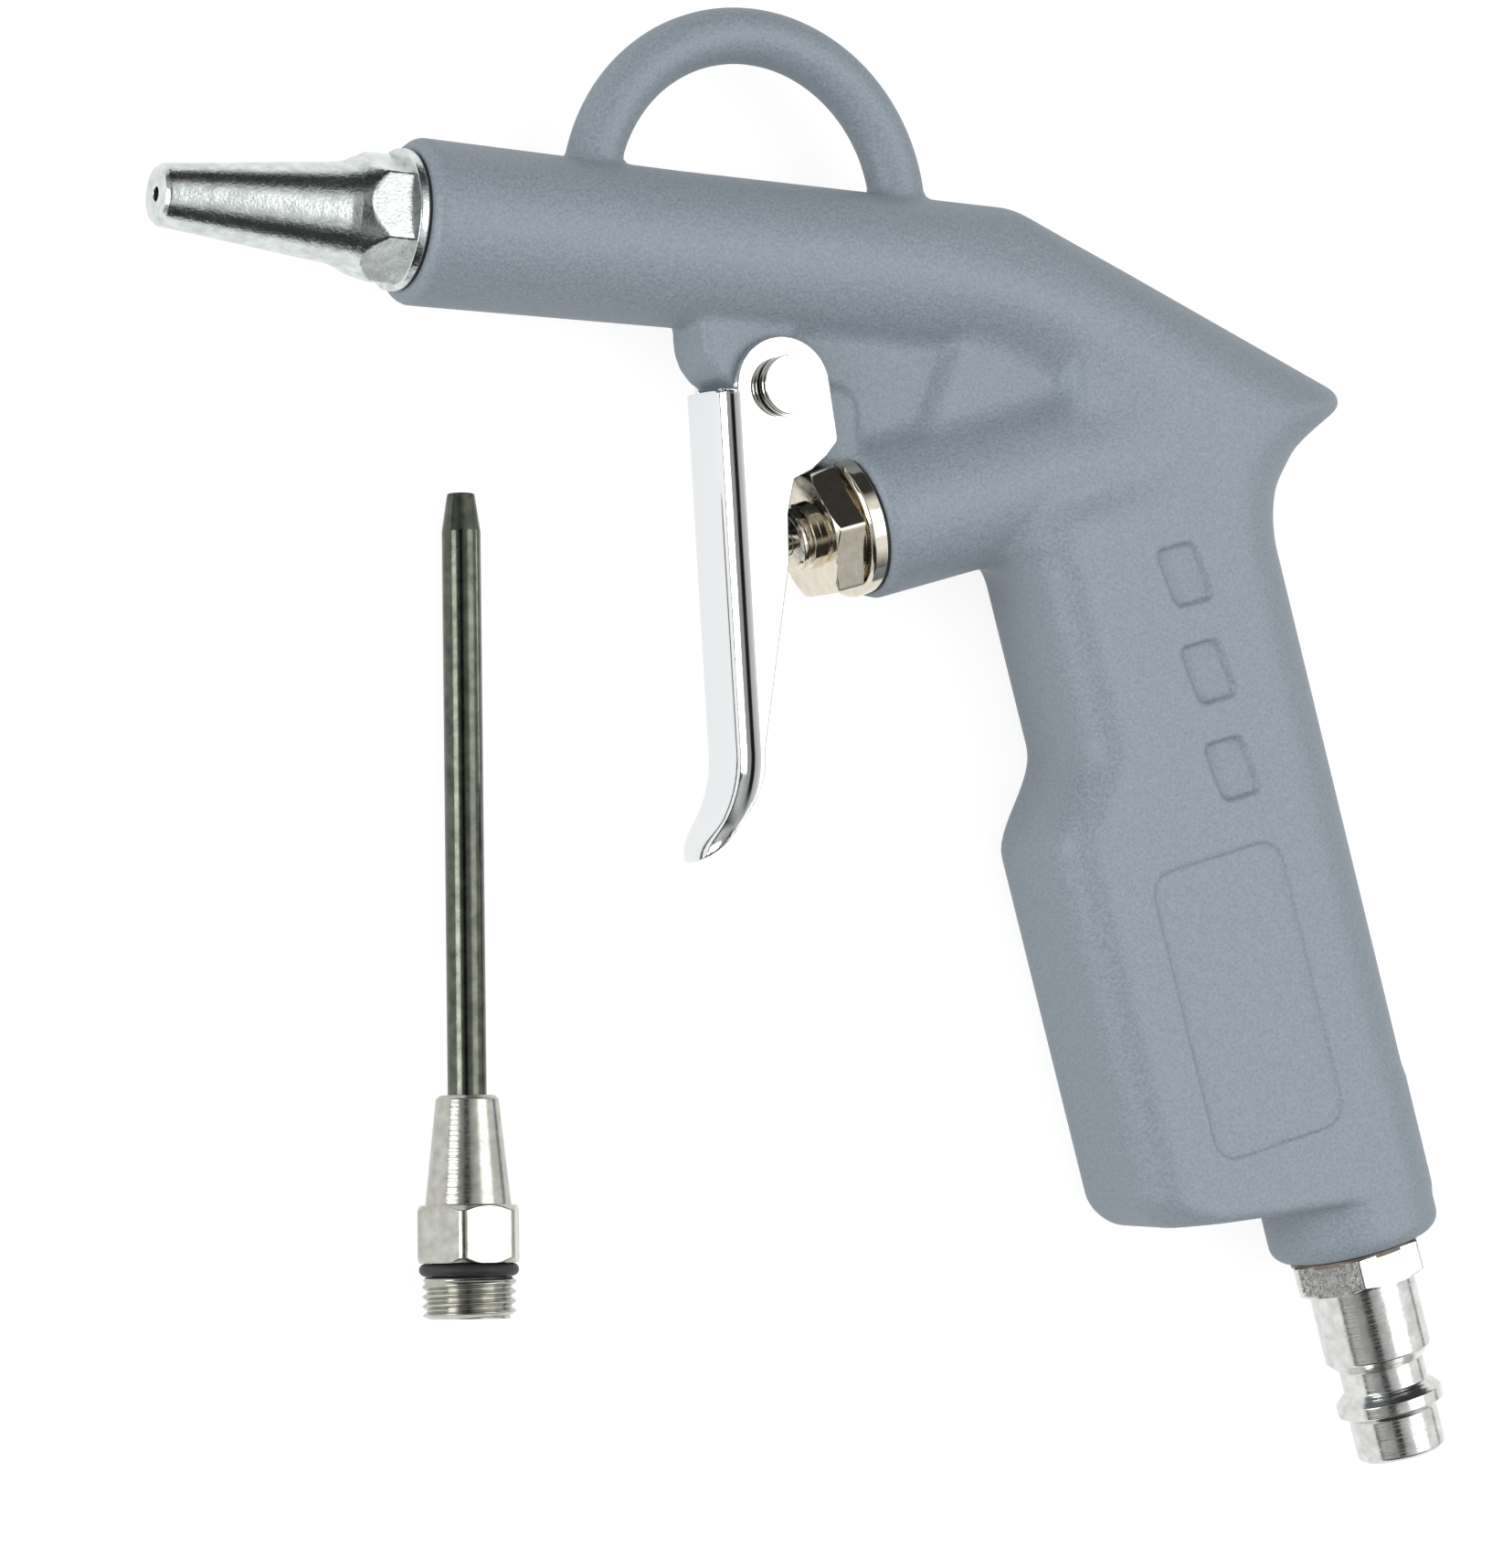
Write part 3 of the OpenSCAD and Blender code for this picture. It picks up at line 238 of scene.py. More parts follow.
# %% [markdown]
# ## The casting
# From the side, the top runs along the barrel, bends down the slope, turns round the tail's nose
# and follows the thumb's hollow to the grip's back. Barrel and slope are one bent tube. Behind it
# lies a plate with a fully round back, which the end of the pocket and the grip's front cut off.
# The valve housing, inlet boss, hook, lug and web are joined to them with fillets. The web fills
# the triangle between barrel and housing, and is a step thicker in its rear part. All sizes are
# in millimetres, and were measured in the photograph.

# %% Sizes of the casting
BARREL_R, MOUTH_R, TAPER_LEN, MOUTH_RIM = 8.3, 8.7, 31.0, 1.4
BEND_X, SLOPE, WIDEN_START, WIDEN_END = 71.2, math.radians(21.4), 74, 96
GRIP_FRONT, GRIP_REAR, GRIP_EDGE, POCKET_EDGE = -22.6, 9.9, 5.0, 1.8
NOSE_R, NOSE_GROWTH, THUMB_R, THUMB_END, VALLEY = 3.1, 5.2, 13.3, 31.5, 2.4
STOP_START, STOP_LEN, STOP_DEPTH = 45.2, 11.0, 6.4
GRIP_LEN, FOOT_SLANT = 98.6, math.radians(9.9)
FOOT_W = GRIP_FRONT - STOP_DEPTH
VALVE_U, VALVE_W, VALVE_R, VALVE_LEN, VALVE_RIM = 15.95, -40.0, 8.55, 37, 1.0
BOSS_START, BOSS_END, BOSS_W, BOSS_R, BOSS_RIM, PLUG_U = 90, 109.1, -0.4, 9.2, 2.0, 109.25
BOSS_MIDDLE, BOSS_FLAT = 0.15, 0.5
HOOK_X, HOOK_Y, HOOK_R, HOOK_BAR = 39.6, 5.2, 18.5, 3.0
WEB_HALF, SHELF, SHELF_RUN, SHELF_X, SHELF_Y, SHELF_TURN = 3.1, 1.5, 1.9, 61.8, -8.4, (0.944, -0.331)
LUG_HALF, LUG_RIM = 3.9, 0.9

stop = np.linspace(0, 1, 13)
stop_line = [on_grip(STOP_START + STOP_LEN * t, GRIP_FRONT - STOP_DEPTH * t * t * (3 - 2 * t)) for t in stop]
front = np.array(
    [[78.5, 30.0], [76.3, -9.5], [76.5, -11.5], [76.2, -13.2], [75.0, -14.8], [68.0, -17.5],
     on_grip(22, GRIP_FRONT)] + stop_line + [on_grip(140, FOOT_W), on_grip(140, 80)]
)
lug = np.array(
    [[33.0, -4.0], [33.0, -9.0], [33.3, -10.8], [34.0, -12.3], [35.2, -13.6], [36.6, -14.4], [38.0, -16.5],
     [39.5, -18.6], [46.0, -21.5], [52.0, -21.5]]
    + arc(49.2, -16.2, 2.8, 0, 90, 6) + [[44.0, -13.2], [44.0, -4.0]]
)
web = np.array([[42.0, -4.0], [42.0, -16.0], [50.0, -24.0], on_grip(VALVE_U, -10), [80.0, -4.0]])
print("outline points: front", len(front), "lug", len(lug), "web", len(web))


# %% Barrel, slope and grip
def top_field(x, y, r):
    """Above the barrel's top line or the slope's. The two blend over a longer stretch halfway down
    the side, so that the outline's bend stays tight and the bent tube has no crease."""
    a = y - r
    b = (x - BEND_X) * math.sin(SLOPE) + (y - BARREL_R) * math.cos(SLOPE)
    depth = -np.maximum(a, b)
    k = 0.56 + 5.4 * ramp(depth, 0, 7) - 4.4 * ramp(depth, 9, 15)
    return np.maximum(a, b) + np.maximum(k - np.abs(a - b), 0) ** 2 / (4 * k)


def back_field(u, w):
    """Behind the grip's back, or inside the circle of the thumb's hollow."""
    hollow = THUMB_R - np.hypot(u - THUMB_END, w - GRIP_REAR - THUMB_R)
    return np.where(u < THUMB_END, hollow, w - GRIP_REAR)


def head_field(x, y, z):
    """The bent tube joined to the plate. The plate thins towards the pocket, so that a shallow
    valley lies between the slope and the valve housing."""
    u, w = grip_axes(x, y)
    r = BARREL_R + (MOUTH_R - BARREL_R) * np.clip(1 - x / TAPER_LEN, 0, 1)
    r = r + (HALF - BARREL_R) * ramp(x, WIDEN_START, WIDEN_END)
    top, back = top_field(x, y, r), back_field(u, w)
    tube_side = np.hypot(top + r, z) - r
    pipe = rim(rim(tube_side, -x, MOUTH_RIM), back, NOSE_R + NOSE_GROWTH * ramp(-top, 2.5, 11))
    half = HALF - VALLEY * ramp(-w, -1, 17) * (1 - ramp(u, 15, 24))
    outline = rim(top, back, NOSE_R)
    k = 0.05 + 6.0 * ramp(-outline, 0, 7)
    outline = outline + np.maximum(k - np.abs(top - back), 0) ** 2 / (4 * k)
    plate = rim(outline, np.abs(z) - half, half - 0.02)
    edge = POCKET_EDGE + (GRIP_EDGE - POCKET_EDGE) * ramp(u, 14, 22)
    plate = np.maximum(plate, rim(outline_distance(x, y, front), np.abs(z) - half, edge))
    foot = (u - GRIP_LEN - (w - FOOT_W) * math.tan(FOOT_SLANT)) * math.cos(FOOT_SLANT)
    plate = rim(plate, foot, 1.2 + 2.8 * (1 - ramp(w, FOOT_W + 1, FOOT_W + 9)))
    return join(pipe, plate, 1.4 * ramp(-top, 6, 12))


print("depth of the grip's middle:", float(-head_field(*on_grip(70, -5), 0.0)).__round__(2), "mm")


# %% Sunk areas
def pad_edge(u, w, mid_u, mid_w, width, length, skew, r):
    """Distance to a rectangle's edge with round corners, its long sides leaning by skew."""
    a = np.abs(w - mid_w + (u - mid_u) * math.tan(skew)) - width / 2
    return rim(a, np.abs(u - mid_u) - length / 2, r)


def sink(f, z, edge, depth, soft, groove):
    """Lowers the side at z by depth inside the edge, with a fine round groove along the edge."""
    f = cut(f, np.maximum(edge, HALF - depth - z), soft)
    return cut(f, np.hypot(edge, z - HALF) - groove, 0.15)


PADS = [(30.6 + 10.95 * i, -6.4) for i in range(3)]
PAD_W, PAD_LEN, PAD_SKEW, PAD_CORNER = 4.75, 6.45, math.radians(-8), 0.9
PAD_SUNK = {"depth": 0.7, "soft": 0.6, "groove": 0.15}
PANEL_U, PANEL_W, PANEL_WIDE, PANEL_LEN, PANEL_CORNER = 77.4, -11.4, 16.6, 31.9, 2.5
PANEL_SUNK = {"depth": 0.3, "soft": 0.3, "groove": 0.32}
print("pads at u and w, mm:", np.round(PADS, 2).tolist())

# %% Field of the casting
THREAD_R, THREAD_LEN = 5.0, 12
SEAT_R, SEAT_LEN, CHAMBER_R, CHAMBER_LEN = 6.5, 6.2, 6.2, 31
INLET_R, INLET_LEN, PIN_HOLE_R = 6.58, 13, 2.05


def casting_field(x, y, z):
    """All parts of the casting joined with fillets, less pads, panel and bores."""
    u, w = grip_axes(x, y)
    side = np.abs(z)
    f = head_field(x, y, z)
    valve_side = np.hypot(u - VALVE_U, z)
    f = join(f, drum(w - VALVE_W, valve_side, VALVE_LEN, VALVE_R, VALVE_RIM), 1.2 + 3.4 * ramp(u, 19, 24))
    past_step = (x - SHELF_X) * SHELF_TURN[0] + (y - SHELF_Y) * SHELF_TURN[1]
    web_half = WEB_HALF + SHELF * ramp(past_step, 0, SHELF_RUN)
    f = join(f, rim(outline_distance(x, y, web), side - web_half, 0.6), 1.5)
    f = join(f, rim(outline_distance(x, y, lug), side - LUG_HALF, LUG_RIM), 0.9)
    inlet_side = np.hypot(np.maximum(np.abs(w - BOSS_MIDDLE) - BOSS_FLAT, 0), z)
    f = join(f, drum(u - BOSS_START, inlet_side, BOSS_END - BOSS_START, BOSS_R, BOSS_RIM), 0.8)
    ring = np.where(y > HOOK_Y, np.abs(np.hypot(x - HOOK_X, y - HOOK_Y) - HOOK_R),
                    np.abs(np.abs(x - HOOK_X) - HOOK_R))
    f = join(f, np.maximum(np.hypot(ring, z) - HOOK_BAR, -y), 1.0)
    f = cut(f, HALF - side, 0.3)
    for mid_u, mid_w in PADS:
        edge = pad_edge(u, w, mid_u, mid_w, PAD_W, PAD_LEN, PAD_SKEW, PAD_CORNER)
        f = sink(f, z, edge, **PAD_SUNK)
        f = sink(f, -z, edge, **PAD_SUNK)
    edge = pad_edge(u, w, PANEL_U, PANEL_W, PANEL_WIDE, PANEL_LEN, 0, PANEL_CORNER)
    f = sink(f, z, edge, **PANEL_SUNK)
    bores = [
        drum(x + 1, np.hypot(y, z), THREAD_LEN, THREAD_R, 0.1),
        drum(w - VALVE_W + 1, valve_side, SEAT_LEN, SEAT_R, 0.1),
        drum(w - VALVE_W, valve_side, CHAMBER_LEN, CHAMBER_R, 0.1),
        drum(BOSS_END + 1 - u, np.hypot(w - BOSS_W, z), INLET_LEN, INLET_R, 0.1),
        np.hypot(x - PIN_X, y - PIN_Y) - PIN_HOLE_R,
    ]
    for bore in bores:
        f = np.maximum(f, -bore)
    return f


# %% [markdown]
# The grid is laid along the grip, so that the edges of the sunk pads and of the panel follow its
# lines and stay straight. Cells are finer along those edges than elsewhere.

# %% Skin the casting
def in_grip_axes(field):
    """The same field, asked at u, w and z."""
    def asked(u, w, z):
        return field(*on_grip(u, w), z)
    return asked


def graded(low, high, step, fine=(), near=0.7, small=0.22):
    """Values from low to high, small apart near the fine places and step apart elsewhere."""
    values = [low - 1.3 * step]
    while values[-1] < high + 1.3 * step:
        close = any(abs(values[-1] + small - place) < near for place in fine)
        values.append(values[-1] + (small if close else step))
    return np.array(values)


edges_u = [mid_u + side * PAD_LEN / 2 for mid_u, _ in PADS for side in (-1, 1)]
edges_u += [PANEL_U - PANEL_LEN / 2, PANEL_U + PANEL_LEN / 2]
edges_w = [PADS[0][1] - PAD_W / 2, PADS[0][1] + PAD_W / 2, PANEL_W - PANEL_WIDE / 2, PANEL_W + PANEL_WIDE / 2]
grid = [
    graded(-54, 110, 0.6, edges_u),
    graded(-86, 26, 0.6, edges_w),
    graded(-HALF, HALF, 0.52, [HALF, -HALF], 0.5),
]
points, quads = skin(in_grip_axes(casting_field), grid)
x, y = on_grip(points[:, 0], points[:, 1])
casting = make_piece("casting", to_part(np.stack([x, y, points[:, 2]], axis=1)), quads)
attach(casting, "gun")
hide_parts("body")

# %% [markdown]
# ## The trigger
# One strip of sheet steel, 1 mm thick: it is bent into a channel, and its end is rolled forward
# for the lowest finger. Seen end on, the channel is a rounded outer shape less the same shape one
# sheet further in. The side view then trims the two flanges, and depth is rolled round the curl.
# The web ends below the pin, and above its end only the two ears go on.

# %% Field of the trigger
SHEET, TRIGGER_W, BEND, EAR_R = 1.0, 10.0, 2.6, 5.65
FRONT, FRONT_TOP, TOP_TILT, FRONT_LEN, TOE, LIP = 6.95, 0.95, 0.13, 38.3, 2.8, 1.7
CURL_R, CURL_END, TIP_R = 12.3, math.radians(56.5), 4.6
FRONT_LEAN = math.radians(5.7)
EAR_X, EAR_Y = 0.54, -0.15
flange = np.array(
    [[-20.0, -FRONT_LEN - 30], [-20.0, 0.0], [EAR_X - EAR_R, 0.0]]
    + arc(EAR_X, EAR_Y, EAR_R, 180, 15, 24)
    + arc(5.7, -5.5, 1.0, 10, -50, 4)
    + [[5.26, -7.43], [3.45, -8.77], [1.2, -9.8], [0.2, -13.5], [0.0, -18.6]]
    + [[TOE - FRONT, -FRONT_LEN], [TOE - FRONT, -FRONT_LEN - 30]]
)


def trigger_field(x, y, z):
    """Drawn about its pivot, with its front square to X. Depth runs back from the front face, and
    below the straight part it runs out from the curl's centre. The side wall runs round the end."""
    cx, cy = x + FRONT + CURL_R, y + FRONT_LEN
    low = y < -FRONT_LEN
    depth = np.where(low, np.hypot(cx, cy) - CURL_R, x + FRONT)
    turn = np.where(low, np.arctan2(-cy, cx), 0.0)
    turn = np.where(turn < -1.5, 3.0, turn)
    side = np.abs(z)
    plan = rim(side - TRIGGER_W / 2, (turn - CURL_END) * CURL_R, TIP_R)
    outer = rim(-depth, plan, BEND)
    sheet = np.abs(outer + SHEET / 2) - SHEET / 2
    web_stop = y - FRONT_TOP + TOP_TILT * (z + TRIGGER_W / 2)
    ears = np.maximum(np.abs(side - TRIGGER_W / 2 + SHEET / 2) - SHEET / 2, -4 - y)
    ears = np.maximum(ears, np.where(web_stop < 0, outer, -depth))
    body = np.minimum(np.maximum(sheet, web_stop), ears)
    lip = TOE + (LIP - TOE) * ramp(turn, 0.1, CURL_END - 0.3)
    f = rim(body, np.where(low, depth - lip, outline_distance(x, y, flange)), 0.2)
    return np.maximum(f, PIN_HOLE_R - np.hypot(x - EAR_X, y - EAR_Y))


# %% Skin the trigger
grid = [graded(-23.5, 7.0, 0.2), graded(-52.5, 5.9, 0.2), graded(-TRIGGER_W / 2, TRIGGER_W / 2, 0.2)]
points, quads = skin(trigger_field, grid)
c, s = math.cos(FRONT_LEAN), math.sin(FRONT_LEAN)
points = points @ np.array([[c, s, 0], [-s, c, 0], [0, 0, 1]]) + [PIVOT_X, PIVOT_Y, 0]
lever = make_piece("trigger_sheet", to_part(points), quads)
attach(lever, "trigger")
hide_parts("trigger")

# %% [markdown]
# ## Turned pieces
# A lathe makes a piece from a profile: how far along the axis, and how thick there. On a computer
# each profile point becomes a ring. Corners of the profile are rounded a little, because a real
# edge is never perfectly sharp and catches the light. A spanner's hexagon and a thread only change
# each ring's radius with the angle, so one function makes them all.


# %% A profile with softened corners
def softened(profile, edge, step):
    """Each corner c becomes a curve (1-t)^2 p + 2t(1-t) c + t^2 q that starts and ends at
    most edge away from it, and long sides get rings no further apart than step."""
    profile = np.array(profile, float)
    out = [profile[0]]
    for before, tip, after in zip(profile, profile[1:], profile[2:]):
        la, lb = np.linalg.norm(before - tip), np.linalg.norm(after - tip)
        p = tip + (before - tip) * min(edge / la, 0.4)
        q = tip + (after - tip) * min(edge / lb, 0.4)
        out.append(tip + (before - tip) * min(2 * edge / la, 0.45))
        out += [(1 - t) ** 2 * p + 2 * t * (1 - t) * tip + t ** 2 * q for t in (0, 0.25, 0.5, 0.75, 1)]
        out.append(tip + (after - tip) * min(2 * edge / lb, 0.45))
    out.append(profile[-1])
    rows = [out[0]]
    for a, b in zip(out, out[1:]):
        parts = max(1, math.ceil(np.linalg.norm(b - a) / step))
        rows += [a + (b - a) * k / parts for k in range(1, parts + 1)]
    return np.array(rows)


print("rings of a 10 mm square corner:", len(softened([[0, 0], [10, 0], [10, 10]], 0.1, 1.0)))


# %% Lathe
def lathe(name, node, body, place, profile, hexes=(), thread=None, edge=0.12, step=1.0, sides=288):
    """place is the origin, the axis and the direction of the angle's zero. A hexagon's radius is
    flat / (sum of cos(angle - k 60)^p)^(1/p), which rounds its corners, and a thread's is
    r - depth * |2 frac(s / pitch - angle / 360) - 1|."""
    origin_mm, axis, zero = (np.asarray(v, float) for v in place)
    axis, zero = axis / np.linalg.norm(axis), zero / np.linalg.norm(zero)
    rows = softened(profile, edge, step)
    s, r = rows[:, :1], rows[:, 1:]
    angle = np.arange(sides)[None, :] * 2 * math.pi / sides
    r = np.repeat(r, sides, axis=1)
    for low, high, across in hexes:
        lobes = sum(np.maximum(np.cos(angle - math.pi / 6 - k * math.pi / 3), 0) ** 90 for k in range(6))
        flat = across / 2 / lobes ** (1 / 90)
        r = np.where((s >= low - 1e-6) & (s <= high + 1e-6), np.minimum(r, flat), r)
    if thread:
        low, high, pitch, depth, least = thread
        wave = np.abs(2 * np.mod(s / pitch - angle / (2 * math.pi), 1) - 1)
        fade = np.clip((s - low) / pitch, 0, 1) * np.clip((high - s) / pitch, 0, 1)
        r = np.where(r > least, r - depth * wave * fade, r)
    across = np.cross(axis, zero)
    ring = zero * np.cos(angle)[..., None] + across * np.sin(angle)[..., None]
    points = (origin_mm + axis * s[..., None] + ring * r[..., None]).reshape(-1, 3)
    i = np.arange(len(rows) - 1)[:, None] * sides
    j = np.arange(sides)[None, :]
    k = (j + 1) % sides
    quads = np.stack([i + j, i + k, i + sides + k, i + sides + j], axis=-1).reshape(-1, 4)
    corners = points[quads]
    volume = np.einsum("ij,ij->i", corners[:, 0], np.cross(corners[:, 1], corners[:, 2])).sum() \
        + np.einsum("ij,ij->i", corners[:, 0], np.cross(corners[:, 2], corners[:, 3])).sum()
    piece = make_piece(name, to_part(points), quads if volume > 0 else quads[:, ::-1])
    turning = np.stack([np.repeat(s, sides, axis=1), r, 0 * r], axis=-1) * MM
    stored = piece.data.attributes.new("turning", "FLOAT_VECTOR", "POINT")
    stored.data.foreach_set("vector", turning.astype(np.float32).ravel())
    work = bmesh.new()
    work.from_mesh(piece.data)
    bmesh.ops.remove_doubles(work, verts=work.verts, dist=1e-8)
    work.to_mesh(piece.data)
    work.free()
    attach(piece, body)
    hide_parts(node)
    return piece


# %% Places on the gun
def leant(x, y, degrees):
    """The direction that lies this far from the view's side, turned towards x and y."""
    a = math.radians(degrees)
    return [x * math.sin(a), y * math.sin(a), math.cos(a)]


VIEW = [0, 0, 1]
mouth = ([0, 0, 0], [-1, 0, 0], leant(0, 1, -24))
valve_axis = [math.cos(LEAN), math.sin(LEAN), 0]
valve_place = ([*on_grip(VALVE_U, VALVE_W), 0], valve_axis, VIEW)
inlet_place = ([*on_grip(PLUG_U, BOSS_W), 0], [math.sin(LEAN), -math.cos(LEAN), 0], valve_axis)
pin_place = ([PIN_X, PIN_Y + 0.25, 0], VIEW, [1, 0, 0])
spare_axis = [0.027896, -0.998692, 0.042847]
spare_side = [math.cos(math.radians(1.6)), math.sin(math.radians(1.6)), 0]
spare_place = ([10.7002, -27.0034, -7.3196], spare_axis, spare_side)
print("valve's mouth, mm:", np.round(valve_place[0], 2))

# %% [markdown]
# ## The short nozzle and its washer
# The nozzle is turned from hexagon bar: the tool's cone runs out on the six flats and leaves an
# arc on each. Taking the smaller of cone and hexagon at every angle gives the same arcs. The thin
# washer under it is wider than the hexagon and closes the barrel's mouth.


# %% Nozzle
def corner(across):
    """A hexagon's corner radius."""
    return across / 2 / math.cos(math.radians(30))


flare = [[6.1, 6.05], [7.0, 5.6], [8.0, 5.28]]
nozzle = lathe(
    "nozzle", "short_nozzle", "gun", mouth,
    [[-7, 0], [-7, 4.9], [1.35, 4.9], [1.35, corner(12)], [4.1, corner(12)]] + flare
    + [[27.0, 3.22], [27.5, 2.8], [27.5, 0.75], [12, 0.75], [12, 0]],
    hexes=[(1.3, 6.9, 12)], step=0.4)
washer = lathe(
    "nozzle_plate", "nozzle_washer", "gun", mouth,
    [[0.35, 5.05], [0.35, 7.4], [1.35, 7.4], [1.35, 5.05], [0.35, 5.05]], edge=0.2)

# %% [markdown]
# ## The valve's cartridge, its gland bush and the stem
# The cartridge screws into the housing by its hexagon, and its round collar presses the gasket.
# A small grooved bush in its face holds the seal round the stem, which the trigger pushes in. All
# three are turned, so each is one profile.

# %% Valve
cartridge = lathe(
    "cartridge", "valve_cartridge", "gun", valve_place,
    [[5.15, 3.5], [5.15, 6.45], [-0.4, 6.45], [-0.4, 7.8], [-2.0, 7.8], [-2.3, 7.45], [-2.3, 6.1],
     [-2.65, 6.1], [-2.65, corner(13.2)], [-5.7, corner(13.2)], [-6.05, 6.85], [-6.05, 3.5], [5.15, 3.5]],
    hexes=[(-6.05, -2.65, 13.2)], step=0.3)
gland = lathe(
    "gland", "gland_bush", "gun", valve_place,
    [[-6.0, 1.56], [-6.0, 3.65], [-6.9, 3.65], [-7.1, 3.1], [-7.35, 3.1], [-7.5, 3.45], [-8.1, 3.45],
     [-8.4, 3.1], [-8.4, 1.56], [-6.0, 1.56]], edge=0.08)
nose = [[-15.4 - 1.5 * math.cos(a), 1.5 * math.sin(a)] for a in np.linspace(0, math.pi / 2, 8)]
stem = lathe(
    "stem_rod", "valve_stem", "stem", valve_place,
    nose + [[15.05, 1.5], [15.05, 4.3], [17.05, 4.3], [17.05, 2.5], [19.55, 2.5], [19.55, 0]], edge=0.1)

# %% [markdown]
# ## The pivot pin
# A plain pin with a broad flat head. Two fine steps run round the head's side, where the tool
# stopped, and show as thin lines.

# %% Pin
pin = lathe(
    "pin", "pivot_pin", "gun", pin_place,
    [[-7.4, 0], [-7.4, 1.4], [-7.0, 1.7], [5.35, 1.7], [5.35, 3.2], [6.0, 3.2], [6.1, 3.1], [6.2, 3.2],
     [6.75, 3.2], [6.75, 0]], edge=0.12)

# %% [markdown]
# ## The quick plug
# The hose's coupler slides over the two necks and locks behind the ring. The profile is the common
# 7.2 mm one, turned from hexagon bar, and the hexagon's flats keep the rough skin of the bar.

# %% Plug
plug = lathe(
    "plug", "quick_plug", "gun", inlet_place,
    [[-8, 3.6], [-8, 6.5], [0.2, 6.5], [0.2, corner(14)], [3.3, corner(14)], [3.85, 7.2], [3.85, 6.0],
     [12.2, 6.0], [13.4, 4.8], [15.95, 4.8], [17.15, 6.0], [18.45, 6.0], [19.1, 5.0], [23.5, 5.0],
     [23.9, 4.6], [23.9, 3.6], [-8, 3.6]],
    hexes=[(0.2, 3.86, 14)], step=0.5)

# %% [markdown]
# ## The spare nozzle
# A thin drawn tube is pressed into a turned adapter. Its outside thread would fit the barrel's
# mouth. The thread is a wave along the axis that moves on by one pitch in each turn.

# %% Spare nozzle
spare_tube = lathe(
    "spare_tube", "extension_tube", "gun", spare_place,
    [[0, 1.05], [0, 1.45], [4, 2.05], [70.7, 2.05], [70.7, 1.2], [4, 1.2], [0, 1.05]], step=3, sides=96)
spare_adapter = lathe(
    "spare_adapter", "extension_adapter", "gun", spare_place,
    [[63.2, 2.1], [63.2, 2.9], [63.6, 3.3], [74.6, 4.5], [74.6, 5.0], [75.2, 5.7], [80.1, 5.7], [80.6, 5.2],
     [80.6, 3.8], [82.0, 3.8], [82.0, 4.5], [82.4, 4.95], [86.0, 4.95], [86.4, 4.5], [86.4, 1.25],
     [70.8, 1.25], [70.8, 2.1], [63.2, 2.1]],
    hexes=[(74.6, 80.6, 10.15)], thread=(82.0, 87.2, 1.0, 0.6, 4.0), step=0.1, edge=0.08, sides=144)

# %% [markdown]
# ## Finishes
# A finish is a small graph of nodes. One helper adds any node, sets its values and joins its
# inputs. Colours are written as they look on a screen, in hex, and one function turns them into
# the linear numbers that light works with. Patterns are sized in millimetres of the real surface.


# %% Node helper and colours
def colour(code):
    """Linear value of an sRGB channel c: c / 12.92 up to 0.04045, else ((c + 0.055) / 1.055)^2.4."""
    channels = [int(code[i:i + 2], 16) / 255 for i in (1, 3, 5)]
    return [c / 12.92 if c <= 0.04045 else ((c + 0.055) / 1.055) ** 2.4 for c in channels] + [1.0]


def add(tree, kind, inputs=None, **settings):
    """One node, with its settings and with its inputs set or linked. A link to a node takes its
    first output."""
    node = tree.nodes.new(kind)
    for key, value in settings.items():
        setattr(node, key, value)
    for key, value in (inputs or {}).items():
        if isinstance(value, bpy.types.Node):
            value = value.outputs[0]
        if isinstance(value, bpy.types.NodeSocket):
            tree.links.new(value, node.inputs[key])
        else:
            node.inputs[key].default_value = value
    return node


def per_mm(size):
    """The noise scale whose features are about this many millimetres wide."""
    return 1 / (size * MM)


def new_finish(name):
    """An empty material, and its tree of nodes."""
    material = bpy.data.materials.new(name)
    material.use_nodes = True
    material.node_tree.nodes.clear()
    return material, material.node_tree


NOISE, MAP, MIX = "ShaderNodeTexNoise", "ShaderNodeMapRange", "ShaderNodeMix"
BUMP, SHADER, OUTPUT = "ShaderNodeBump", "ShaderNodeBsdfPrincipled", "ShaderNodeOutputMaterial"
MATHS, PLACE = "ShaderNodeMath", "ShaderNodeTexCoord"
print("mid grey is linear", round(colour("#808080")[0], 3))

# %% [markdown]
# ### Powder coat on the casting
# Common name: polyester powder coat. The casting is sprayed with grey powder that holds some
# aluminium flake, and baked. It melts into a skin with a coarse texture, hammered by grains of
# about 0.3 mm, so its gloss is broad and soft and the tone changes a little from grain to grain.
# A finer and a coarser noise are added for its height, as molten powder is never even.

# %% Powder coat
coat, tree = new_finish("grey_powder_coat")
place = add(tree, PLACE).outputs["Object"]
grain = add(tree, NOISE, {"Vector": place, "Scale": per_mm(0.32), "Detail": 2.0, "Roughness": 0.6})
peel = add(tree, NOISE, {"Vector": place, "Scale": per_mm(1.1), "Detail": 1.0})
fleck = add(tree, MAP, {"Value": grain, "From Min": 0.32, "From Max": 0.68})
tone = add(tree, MIX, {0: fleck, 6: colour("#838D96"), 7: colour("#98A2AB")}, data_type="RGBA").outputs[2]
height = add(tree, MATHS, {0: grain, 1: peel}, operation="ADD")
dents = add(tree, BUMP, {"Height": height, "Distance": 0.075 * MM, "Strength": 1.0})
shine = add(tree, MAP, {"Value": grain, "From Min": 0.3, "From Max": 0.7, "To Min": 0.46, "To Max": 0.56})
skin_shader = add(tree, SHADER, {"Base Color": tone, "Metallic": 0.12, "Roughness": shine, "Normal": dents})
add(tree, OUTPUT, {"Surface": skin_shader})
print(coat.name, len(tree.nodes), "nodes")

